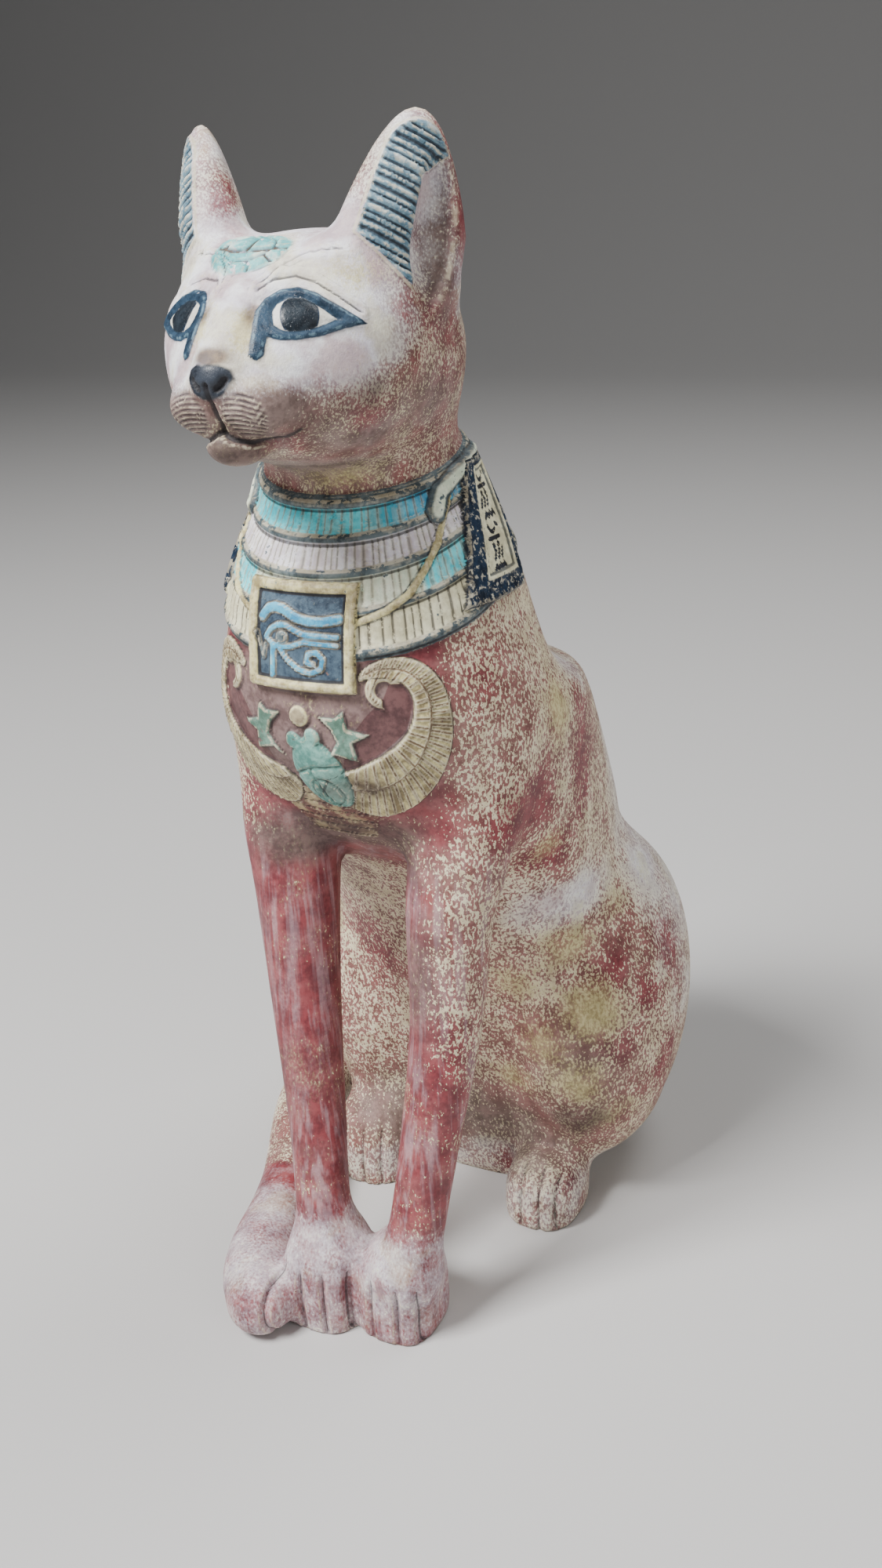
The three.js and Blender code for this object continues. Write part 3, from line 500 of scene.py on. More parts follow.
@dataclass
class Collar:
    """Broad collar of ridges and ticked bands."""

    tilt: float = 0.3
    top: float = 295.4
    foot: float = 257.0
    lift: float = 0.7
    centre_y: float = -20.0
    radius: float = 38.0
    rings: Rows = (          # level, half width, height
        (294.1, 1.5, 1.2), (286.0, 1.2, 0.9), (278.2, 1.3, 1.0), (269.0, 1.1, 0.8), (257.9, 1.4, 1.1),
    )
    bands: Rows = (          # lowest level, highest level, tick spacing, seed
        (287.3, 292.6, 3.1, 1.0), (279.5, 284.8, 2.3, 2.0), (270.2, 276.9, 2.6, 3.0), (259.3, 267.9, 2.5, 4.0),
    )

    def level(self, p: Points) -> Array:
        """Place across the collar, measured along the rings' tilt."""
        return p.z - self.tilt * (p.y + 55.0)

    def carve(self, p: Points) -> tuple[Array, Maps]:
        """Height and maps of the collar.

        Args:
            p: Positions in carving units.

        Returns:
            Height over the body in millimetres, and the paint maps by name.
        """
        t = self.level(p)
        w = self.radius * np.arctan2(p.x, self.centre_y - p.y)
        h = self.lift * inside(np.maximum(self.foot - t, t - self.top), 1.2)
        count, pitch = np.zeros(t.shape), np.ones(t.shape)
        for level, half, height in self.rings:
            h = np.maximum(h, self.lift + height * bump(t - level, half))
            h = h + 0.35 * bump(t - level - half - 0.35, 0.55)
        for low, high, step, seed in self.bands:
            cover = inside(np.maximum(low - t, t - high), 0.6)
            here = (w + 0.5 * np.sin(0.41 * w + 5 * seed) + 0.3 * np.sin(0.93 * w + 3 * seed)) / step
            tick = np.abs(here - np.round(here)) * step
            h += cover * (0.28 * bump(t - 0.5 * (low + high), 0.62 * (high - low)) - 0.42 * bump(tick, 0.5))
            count, pitch = np.where(t < high + 1.4, here, count), np.where(t < high + 1.4, step, pitch)
        shown = inside(np.maximum(255.6 - t, t - 296.9), 0.8)
        return h * shown, {"collar": paint_map(t, w, shown), "bead": paint_map(count, pitch)}


@dataclass
class Pendant:
    """Square plaque with an eye sign, hung on a cord with rolled clasps."""

    x: float = -1.5
    z: float = 259.2
    half_wide: float = 17.8
    half_high: float = 15.8
    border: float = 3.2
    lift: float = 2.9
    sunk: float = 1.2
    brow: Rows = ((-12.5, 5), (-10.5, 7.4), (-8, 8.2), (-5, 7.8), (-1, 5.8), (3.5, 4.9), (8, 5), (13, 5.9))
    upper_lid: Rows = ((-11, -0.6), (-9.4, 1.8), (-7, 3.2), (-4, 3.5), (-1, 2.2), (2, 1.2), (12.5, 0.9))
    lower_lid: Rows = ((-11, -0.6), (-8.6, -2.4), (-6, -3), (-2.5, -2.6), (2, -1), (12.5, -1.5))
    drop: Rows = ((-8.4, -2.4), (-8.8, -7), (-9, -11.6))
    curl: Rows = ((-6.5, -3), (-3.5, -6.6), (0, -9), (4, -10), (7.6, -8.6), (8.2, -5.6), (6, -3.6),
                  (3.4, -4.4), (3, -6.8), (5, -7.4))
    side_mark: Rows = ((-14.6, 0.6), (-13.4, -3), (-12.2, -6.8), (-11.4, -2.6))
    neck_y: float = -20.0
    neck_radius: float = 38.0
    cord: Rows = ((47.8, 297), (43.5, 291), (39.9, 286), (36.8, 282), (33.4, 278), (27.3, 271), (21.2, 267),
                  (12.4, 263.5))
    clasp: Rows = ((76.2, 304.5), (63.3, 303.6), (51.6, 301), (43.4, 297), (40.3, 291.5))

    def carve(self, p: Points, below: Array) -> tuple[Array, Maps]:
        """Height and maps of the plaque, cord and clasps over the height below.

        Args:
            p: Positions in carving units.
            below: Height of what lies under them.

        Returns:
            Height over the body in millimetres, and the paint maps by name.
        """
        u, v = p.x - self.x, p.z - self.z
        q = np.where(p.y < -35, np.maximum(np.abs(u) - self.half_wide, np.abs(v) - self.half_high), AWAY)
        round_neck = self.neck_radius * np.arctan2(p.ax, self.neck_y - p.y)
        reach = (p.z > 255) & (p.z < 312)
        cord = np.where(reach, stroke(round_neck, p.z, self.cord), AWAY)
        clasp = np.where(reach, stroke(round_neck, p.z, self.clasp), AWAY)
        h = np.maximum(below, 0.8 * below + 1.4 * np.sqrt(bump(cord, 1.05)))
        h = np.maximum(h, 0.4 * below + 3.2 * np.sqrt(bump(clasp, 3.2)))
        sign = np.minimum.reduce([
            stroke(u, v, self.brow) - 1.35, stroke(u, v, self.upper_lid) - 0.85,
            stroke(u, v, self.lower_lid) - 0.75, stroke(u, v, self.drop) - 0.95, stroke(u, v, self.curl) - 0.8,
            np.hypot(u + 5.4, v + 0.2) - 1.9, stroke(u, v, self.side_mark) - 0.5,
        ])
        plate = self.lift * inside(q, 1.2) - self.sunk * inside(q + self.border, 0.9)
        plate += 0.35 * bump(q + 0.5 * self.border, 0.55 * self.border) + 0.85 * inside(sign, 0.9)
        cover = inside(q, 1.2)
        pupil = np.hypot(u + 5.4, v + 0.2) - 1.9
        dull = np.minimum(pupil, stroke(u, v, self.side_mark) - 0.6)
        ink = np.where(q < -2, np.minimum(np.abs(q + self.border + 0.4), np.abs(sign - 0.25)) - 0.2, np.abs(q) - 0.25)
        return h * (1 - cover) + plate * cover, {
            "pendant": paint_map(q, sign, dull),
            "string": paint_map(cord - 0.95, clasp - 3.0, clasp),
            "ink": ink,
        }


@dataclass
class WingedScarab:
    """Beetle with a disc, toothed leaves and two feathered wings on the chest."""

    x: float = 1.0
    z: float = 215.5
    lean: float = 0.27
    length: float = 13.5
    breadth: float = 8.7
    lift: float = 3.4
    disc: tuple[float, float, float] = (-3.0, 235.4, 3.2)
    leaf_axis: float = -3.3
    wing_axis: float = -4.0
    wing_u: float = 18.0
    wing_z: float = 236.0
    unroll_y: float = -10.0
    unroll_radius: float = 57.0
    fan_top: float = 209.0
    fan_foot: float = 187.5
    scale_row: float = 3.6
    scale_wide: float = 3.0
    leaf: Rows = ((3.5, 235.9), (8.9, 235.7), (11.7, 238), (12.6, 232.5), (19, 230.6), (13.8, 227.9),
                  (14.6, 221.8), (7.4, 223.8), (4.4, 221), (8.9, 227.9), (7.4, 232.1))
    wing: Rows = ((-125, 24, 30), (-113, 19.5, 34), (-90, 14.5, 37), (-69, 12.8, 35.3), (-53, 12.4, 32.7),
                  (-29, 12.8, 28.5), (-4, 14, 26), (23, 15.4, 25.2), (42, 15.4, 23.7), (57, 14.2, 21.4),
                  (76, 12.4, 17.5), (95, 11, 13))
    smooth_field: Rows = ((8.4, 216), (20.6, 223), (30, 231), (32.5, 240), (30, 246), (26, 246.5), (24, 242),
                          (18, 236), (12, 228))

    def carve(self, p: Points) -> tuple[Array, Maps]:
        """Height and maps of the whole breast ornament.

        Args:
            p: Positions in carving units.

        Returns:
            Height over the body in millimetres, and the paint maps by name.
        """
        du, dv = p.x - self.x, p.z - self.z
        scale = np.hypot(1.0, self.lean)
        along = (-dv + self.lean * du) / scale
        across = (du + self.lean * dv) / scale
        body = np.sqrt((along / self.length)**2 + (across / self.breadth)**2)
        beetle = (body - 1.0) * self.breadth
        h = self.lift * np.sqrt(np.clip(1.0 - body**2, 0.0, None))
        neck = along + 4.4 - 0.035 * across**2
        ink = np.where(body < 0.97, np.minimum(np.abs(neck), np.where(neck > 0, np.abs(across + 0.8), AWAY)), AWAY)
        shell = np.hypot(across / 0.8, (along - 5.2)) - 5.6
        ink = np.where(body < 0.97, np.minimum(ink, np.abs(shell)), ink)
        h -= 0.55 * bump(ink, 0.7) * (body < 1.0)
        crest = np.hypot(np.abs(across) - 3.5, (along + 13.2) * 0.9) - 2.6
        crest = np.minimum(crest, np.maximum(np.abs(across) - 4.4, np.abs(along + 10.4) - 3.0))
        h = np.maximum(h, 1.9 * inside(crest, 1.6))
        beetle = np.minimum(beetle, crest)
        disc = np.hypot(p.x - self.disc[0], p.z - self.disc[1]) - self.disc[2]
        h = np.maximum(h, 1.5 * inside(disc, 1.2))
        leaf = outline(np.abs(p.x - self.leaf_axis) + self.leaf_axis, p.z, self.leaf)
        h = np.maximum(h, 1.2 * inside(leaf, 0.9) - 0.25 * inside(leaf + 1.6, 1.2))
        u = self.unroll_radius * np.arctan2(p.x, self.unroll_y - p.y)
        fu = np.abs(u - self.wing_axis) + self.wing_axis
        wu, wv = fu - self.wing_u, p.z - self.wing_z
        r, turn = np.hypot(wu, wv), np.degrees(np.arctan2(wv, wu))
        inner, outer = Curve(self.wing)(turn).T
        edge = np.maximum(np.maximum(inner - r, r - outer), np.maximum(-124 - turn, turn - 95) * 0.3)
        layer = inner + 0.45 * (outer - inner)
        quill = np.where(r < layer, turn / 9.0 + 0.02 * r, turn / 5.2 + 0.035 * r)
        pitch = np.where(r < layer, 9.0, 5.2) * r * 0.01745
        gap = np.abs(quill - np.round(quill)) * pitch
        chalk = np.where(edge < -0.4, np.minimum(gap, np.abs(r - layer)), AWAY)
        wing = 1.2 * inside(edge, 1.4) - 0.45 * inside(layer - r, 1.2) + 0.4 * bump(chalk, 0.6) * (edge < 0.4)
        hook = np.hypot(wu - 6.3, wv - 8.4)
        volute = np.where(wv > 2, np.abs(hook - 4.1) - 1.35, AWAY)
        volute = np.maximum(volute, np.minimum(wu - 5.6, 10.2 - wv))
        wing = np.maximum(wing, 1.5 * inside(volute, 1.4))
        inner_field = outline(fu, p.z, self.smooth_field)
        h = np.where(np.minimum(beetle, leaf) > 0.0, np.maximum(h, wing), h)
        drop = self.fan_top - p.z
        fan = (drop > 0) & (p.z > self.fan_foot) & (np.abs(u - self.wing_axis) < 25 - 0.35 * drop)
        row = np.floor(drop / self.scale_row)
        scale_u = (u + 1.5 * (row % 2)) / self.scale_wide
        tip = np.abs((scale_u - np.round(scale_u)) * self.scale_wide)
        scale_edge = np.abs(drop - row * self.scale_row - 2.7 + 0.9 * tip**2 * 0.35)
        feather = np.minimum(scale_edge, AWAY) - 0.1
        plain = (np.minimum(np.minimum(beetle, leaf), edge) > 0.3) & fan
        h += np.where(plain, 0.5 - 0.4 * bump(feather, 0.6), 0.0)
        near = (p.z > 184) & (p.z < 258) & (p.y < -18)
        far = np.where(near, 0.0, AWAY)
        ink = np.where(plain, np.minimum(ink, feather), ink)
        ink = np.minimum(ink, np.abs(edge) - 0.15)
        h = h * near
        return h, {
            "breast": paint_map(leaf + far, beetle + far, disc + far),
            "wing": paint_map(np.minimum(edge, volute) + far, inner_field + far, np.where(plain, -1.0, 1.0) + far),
            "feather": paint_map(quill, r - layer, pitch),
            "ink": ink + far,
        }


@dataclass
class SidePlates:
    """Counterweight plates that lie over the collar at the sides of the neck."""

    z: float = 284.0
    half_high: float = 20.0
    y: float = -19.5
    slope: float = 0.34
    lift: float = 3.1
    rows: int = 8
    first_row: float = -13.2
    row_step: float = 3.6
    zigzag: Rows = ((-3.6, -0.7), (-2.4, 0.8), (-1.2, -0.7), (0, 0.8), (1.2, -0.7), (2.4, 0.8), (3.6, -0.7))
    arc: Rows = ((-3.2, 0.9), (-2.2, -0.7), (-0.6, -1.1), (0.8, -0.4))

    def marks(self, u: Array, v: Array) -> Array:
        """Distance to the shallow strokes of the panel, which spell nothing.

        Args:
            u: Place across the panel.
            v: Place along the panel.

        Returns:
            Signed distance to the strokes.
        """
        best = np.full(u.shape, AWAY)
        for i in range(self.rows):
            c = u - 0.6 * np.sin(2.1 * i)
            w = v - (self.first_row + self.row_step * i)
            kind = i % 4
            if kind == 0:
                shape = [stroke(c, w, self.zigzag)]
            elif kind == 1:
                shape = [stroke(c, w, ((k - 0.5, -1.2), (k + 0.6, 1.2))) for k in (-2.6, -0.4, 1.8)]
            elif kind == 2:
                dots = [np.hypot(c - k, w + 1.0) - 0.35 for k in (-1.6, 1.2)]
                shape = [stroke(c, w, ((-3.4, 1), (3.4, 0.8))), *dots]
            else:
                shape = [stroke(c, w, self.arc), stroke(c, w, ((1.6, 0.9), (3.2, 0.2)))]
            best = np.minimum.reduce([best, *shape])
        return best - 0.40

    def carve(self, p: Points, below: Array) -> tuple[Array, Maps]:
        """Height and maps of the plates over the height below.

        Args:
            p: Positions in carving units.
            below: Height of what lies under them.

        Returns:
            Height over the body in millimetres, and the paint maps by name.
        """
        v = p.z - self.z
        u = p.y - self.y - self.slope * v
        q = np.maximum(np.abs(u) - 12.5 + 0.16 * v, np.abs(v) - self.half_high)
        q = np.where(p.ax > 20, q, AWAY)
        panel = np.maximum(np.abs(u - 1.6) - 6.6 + 0.1 * v, np.abs(v - 1.5) - self.half_high + 5.5)
        panel = np.where(p.ax > 20, panel, AWAY)
        mark = self.marks(u - 1.6, v - 1.5)
        h = self.lift * inside(q, 1.3) + 0.45 * bump(panel - 0.6, 0.8) - 0.5 * inside(panel, 0.8)
        h += 0.3 * bump(q + 1.1, 1.0) - 0.5 * bump(mark, 0.5) * (panel < -0.6)
        foot = (v < -self.half_high + 4.6) & (q < -0.8)
        tick = np.abs(u / 2.4 - np.round(u / 2.4)) * 2.4
        h -= 0.3 * bump(tick, 0.5) * foot
        cover = inside(q, 1.3)
        line = np.where(panel < -0.6, mark, np.abs(q) - 0.2)
        return below * (1 - cover) + h * cover, {
            "plate": paint_map(q, panel, mark),
            "ink": np.where(q < 0.6, line, AWAY),
        }


@dataclass
class Face:
    """Lined eyes, nose, mouth and whisker pads."""

    radius: float = 45.0
    unroll_y: float = -42.0
    eye_x: float = 19.5
    eye_z: float = 351.6
    edge: Rows = ((-8.3, 0.8), (-7.2, 3), (-4, 4.3), (0.5, 4.3), (5, 2.5), (10, -1), (5, -2.9), (0, -4),
                  (-4.5, -4.1), (-7.5, -2.6))
    lined: Rows = ((-12, 0.8), (-10.2, 3.8), (-6.4, 5.9), (-1, 6.6), (4, 5.4), (9.5, 2.5), (17.4, -2.2), (11, -3.2),
                   (5, -4.9), (-1, -5.9), (-5, -6), (-8.2, -5.2), (-8.6, -9.4), (-10.2, -10.8), (-12, -9.6))
    hair_step: float = 1.35
    crease: Rows = ((-12.5, 5.6), (-9, 8.2), (-2, 9.3), (4, 8), (9.5, 5.1), (16, 0.8))
    brow: Rows = ((25, -65, 367, 0), (18, -68, 367, 0), (12, -70.5, 366, 0), (8, -75, 363, 0), (5.5, -82, 358.5, 0))
    split: Rows = ((0, 336.5), (0, 330), (0.4, 324.4))
    nostril: Rows = ((2.6, 335.6), (3.9, 336.4), (4.6, 337.6))
    mouth: Rows = ((0, 324.4), (3, 322.8), (8, 320.6), (13, 321), (17.5, 323.5))
    nose: Rows = ((-5.8, 340), (-3, 341.2), (3, 341.2), (5.8, 340), (6.7, 337.8), (4.4, 334.2), (0, 332.2),
                  (-4.4, 334.2), (-6.7, 337.8))

    def carve(self, p: Points) -> tuple[Array, Maps]:
        """Height and maps of the face.

        Args:
            p: Positions in carving units.

        Returns:
            Height over the body in millimetres, and the paint maps by name.
        """
        ax = p.ax
        u = self.radius * np.arctan2(ax, self.unroll_y - p.y) - self.eye_x
        v = p.z - self.eye_z + 0.06 * u
        front = (p.z > 312) & (p.z < 368) & (p.y < -48)
        far = np.where(front, 0.0, AWAY)
        edge = outline(u, v, self.edge)
        liner = outline(u, v, self.lined)
        iris = np.maximum(np.hypot((u + 0.6) / 4.7, (v - 0.3) / 5.1) * 4.7 - 4.7, edge + 0.3)
        h = 0.8 * inside(np.maximum(liner + 0.3, -edge), 1.3)
        h += np.where(edge < -0.2, 0.7 * fade(-edge / 3.0), 0.0) + 0.2 * inside(iris, 0.6)
        h -= 0.35 * bump(edge + 0.25, 0.5)
        crease = stroke(u, v, self.crease)
        h += 0.5 * bump(crease - 1.2, 1.2) - 0.55 * bump(crease, 0.7)
        muzzle = p.y < -70
        nose = np.where(muzzle, outline(p.x, p.z, self.nose), AWAY)
        hole = stroke(ax, p.z, self.nostril)
        h += np.where(muzzle, 0.7 * inside(nose - 0.3, 2.2) - 1.4 * bump(hole, 1.2), 0.0)
        split = np.where(muzzle, stroke(p.x, p.z, self.split), AWAY)
        mouth = np.where(muzzle, stroke(ax, p.z, self.mouth), AWAY)
        h -= 1.2 * bump(split, 0.9) + 1.4 * bump(mouth, 1.1) * inside(ax - 12, 9)
        row = p.z + 0.035 * (ax - 7.5)**2 + 0.08 * ax
        hair = np.abs(row / self.hair_step - np.round(row / self.hair_step)) * self.hair_step
        cheek = np.where(muzzle, (np.hypot((ax - 8.6) / 6.6, (p.z - 328.6) / 6.8) - 1.0) * 6.6, AWAY)
        cheek = np.where(mouth < 1.2, AWAY, cheek)
        h -= 0.42 * bump(hair, 0.5) * inside(cheek + 0.6, 1.6)
        brow = path_distance(p.folded(), np.array(self.brow, float))
        h += 0.5 * bump(brow - 1.3, 1.1) - 0.5 * bump(brow, 0.8)
        ink = np.minimum(crease - 0.12, brow - 0.15)
        deep = np.minimum.reduce([split - 0.55, mouth - 0.45 + 0.02 * ax, np.where(muzzle, hole - 0.8, AWAY)])
        return np.where(front, h, 0.0), {
            "eye": paint_map(liner + far, edge + 0.55 + far, iris + far),
            "nose": paint_map(nose + far, deep + far),
            "hair": paint_map(row / self.hair_step, cheek + far),
            "ink": ink + far,
        }


@dataclass
class Crown:
    """Scarab in low relief on the forehead."""

    x: float = -4.0
    y: float = -68.0
    half_x: float = 11.5
    half_y: float = 9.5

    def carve(self, p: Points) -> tuple[Array, Maps]:
        """Height and maps of the forehead scarab.

        Args:
            p: Positions in carving units.

        Returns:
            Height over the body in millimetres, and the paint maps by name.
        """
        u, v = (p.x - self.x) / self.half_x, (p.y - self.y) / self.half_y
        r = np.hypot(u, v)
        q = np.where((p.z > 350) & (p.ax < 20), (r - 1.0) * self.half_y, AWAY)
        waist = np.abs(v + 0.25 - 0.35 * u**2) * self.half_y
        cases = np.where(v > -0.2, np.abs(u) * self.half_x, AWAY)
        legs = np.abs(np.sin(np.arctan2(v, u) * 5.0)) * 4.0
        rim = np.abs(r - 0.68) * 10.5
        ink = np.where(q < -0.3, np.minimum(np.minimum(waist, cases), np.where(r > 0.68, legs, rim)), AWAY)
        h = 1.9 * np.sqrt(np.clip(1.0 - r * r, 0.0, None)) * (q < 1) - 1.0 * bump(ink, 1.2)
        return np.where(q < 0.5, h, 0.0), {"crown": paint_map(q, ink), "ink": ink + 0.35}


@dataclass
class EarPanels:
    """Slanted hair stripes carved along the inner edge of each ear."""

    ears: Ears
    step: float = 2.35
    slant: float = 0.5

    def carve(self, p: Points) -> tuple[Array, Maps]:
        """Height and maps of the ear panels.

        Args:
            p: Positions in carving units.

        Returns:
            Height over the body in millimetres, and the paint maps by name.
        """
        d, along, out = self.ears.frame(p)
        wide, _ = self.ears.widths(d)
        right = np.where(d < 16, wide - 3.0, 0.6)
        right = np.where((d >= 13) & (d < 18), np.minimum(right, 8.0 - 1.5 * (d - 13)), right)
        foot = d - 43 - 0.9 * along
        q = smooth_max(smooth_max(-wide * 0.80 - along, 3.4 - d, 5.0), along - right, 4.0)
        q = np.maximum(q, foot)
        q = np.where((p.z > 345) & (p.ax > 14) & (out > 0.5), q, AWAY)
        s = (d - self.slant * along) / self.step
        s = s + 0.12 * np.sin(2.3 * s) + 0.08 * np.sin(5.1 * s + 1.0)
        line = np.abs(s - np.round(s)) * self.step * 0.87
        h = 0.45 * inside(q, 1.2) - 0.75 * bump(line, 0.62) * inside(q + 0.7, 1.0)
        h += 0.3 * bump(line - 0.95, 0.5) * inside(q + 0.7, 1.0) + 0.45 * bump(q - 0.2, 0.8)
        return h, {"panel": paint_map(q, s)}


@dataclass
class Toes:
    """Grooves between the toes of all four paws."""

    fore: Sequence[float] = (-28.0, -20.6, -11.6, -4.4, 4.4, 15.2, 22.2)
    hind: Sequence[float] = (-50.0, -41.0, -33.0, 29.6, 37.2, 44.0)
    depth: float = 1.5
    half: float = 1.5

    def carve(self, p: Points) -> tuple[Array, Maps]:
        """Height and maps of the toe grooves.

        Args:
            p: Positions in carving units.

        Returns:
            Height over the body in millimetres, and the paint maps by name.
        """
        front = p.y < -20
        line = np.full(p.x.shape, AWAY)
        for x in self.fore:
            bend = 0.07 * (x + 4.0) * fade((p.z - 6) / 22.0)
            line = np.where(front, np.minimum(line, np.abs(p.x - x - bend * 0.6)), line)
        for x in self.hind:
            line = np.where(front, line, np.minimum(line, np.abs(p.x - x)))
        reach = fade((30 - p.z) / 9.0) * fade((np.where(front, -58.0, 20.0) - p.y) / 6.0)
        reach = reach * ((p.z < 31) & ((p.y < -50) | ((p.y > -5) & (p.y < 22))))
        return -self.depth * bump(line, self.half) * reach, {"ink": np.where(reach > 0.35, line - 0.12, AWAY)}


@dataclass
class Relief:
    """All carved details laid over the body, in order."""

    ears: Ears
    collar: Collar = field(default_factory=Collar)
    pendant: Pendant = field(default_factory=Pendant)
    scarab: WingedScarab = field(default_factory=WingedScarab)
    plates: SidePlates = field(default_factory=SidePlates)
    face: Face = field(default_factory=Face)
    crown: Crown = field(default_factory=Crown)
    toes: Toes = field(default_factory=Toes)

    def carve(self, p: Points) -> tuple[Array, Maps]:
        """Height over the body at each position, and every paint map.

        Args:
            p: Positions in carving units.

        Returns:
            Height over the body in millimetres, and the paint maps by name.
        """
        collar, maps = self.collar.carve(p)
        breast, more = self.scarab.carve(p)
        h = np.maximum(collar, breast)
        ink = np.where(maps["collar"][:, 2] > 0.5, 9.0, more.pop("ink"))
        maps.update(more)
        h, more = self.pendant.carve(p, h)
        over = more["pendant"][:, 0] < 0
        line = np.minimum(more["string"][:, 0], more["string"][:, 1])
        ink = np.where(over, more["ink"], np.where(line < 0, 9.0, ink))
        ink = np.where((line > 0) & (line < 0.7) & ~over, np.minimum(ink, line - 0.3), ink)
        maps.update(more)
        h, more = self.plates.carve(p, h)
        over = more["plate"][:, 0] < 0.4
        ink = np.where(over, more.pop("ink"), ink)
        maps.update(more)
        for part in (self.face, self.crown, EarPanels(self.ears), self.toes):
            extra, more = part.carve(p)
            h = h + extra
            ink = np.minimum(ink, more.pop("ink", AWAY))
            maps.update(more)
        maps["ink"] = paint_map(ink)
        return h, maps

    def fineness(self, p: Points) -> Array:
        """How fine the mesh must be: 0 on plain skin, 1 near carving, 2 on it.

        Args:
            p: Positions in carving units.

        Returns:
            Level from 0 to 2 at each position.
        """
        t = self.collar.level(p)
        collar = (t > 254) & (t < 299)
        breast = (p.z > 186) & (p.z < 258) & (p.y < -30)
        head = (p.z > 312) & ((p.y < -45) | (p.z > 350))
        paws = (p.z < 34) & (p.z > 0.8) & (p.y < 24) & (p.y > -100)
        level = (collar | breast | head | paws).astype(int)
        _, plate = self.plates.carve(p, np.zeros(p.x.shape))
        _, panel = EarPanels(self.ears).carve(p)
        fine = (t > 255.2) & (t < 297.2) & (p.y < 8) & (p.x > -34)
        fine |= (p.z > 188) & (p.z < 257) & (p.y < -36) & (p.ax < 50)
        fine |= (p.z > 343.5) & (p.z < 362.5) & (p.y < -60)
        fine |= (p.z > 316) & (p.z < 344) & (p.y < -80)
        fine |= ((plate["plate"][:, 0] < 1.5) & (p.x > 0)) | (panel["panel"][:, 0] < 1.2)
        fine |= (p.z > 358) & (np.hypot(p.x + 4, p.y + 68) < 12)
        fine |= (p.z < 27) & (p.y < -62) & (p.x > -32)
        return np.where(fine, 2, level)


# The visible mesh

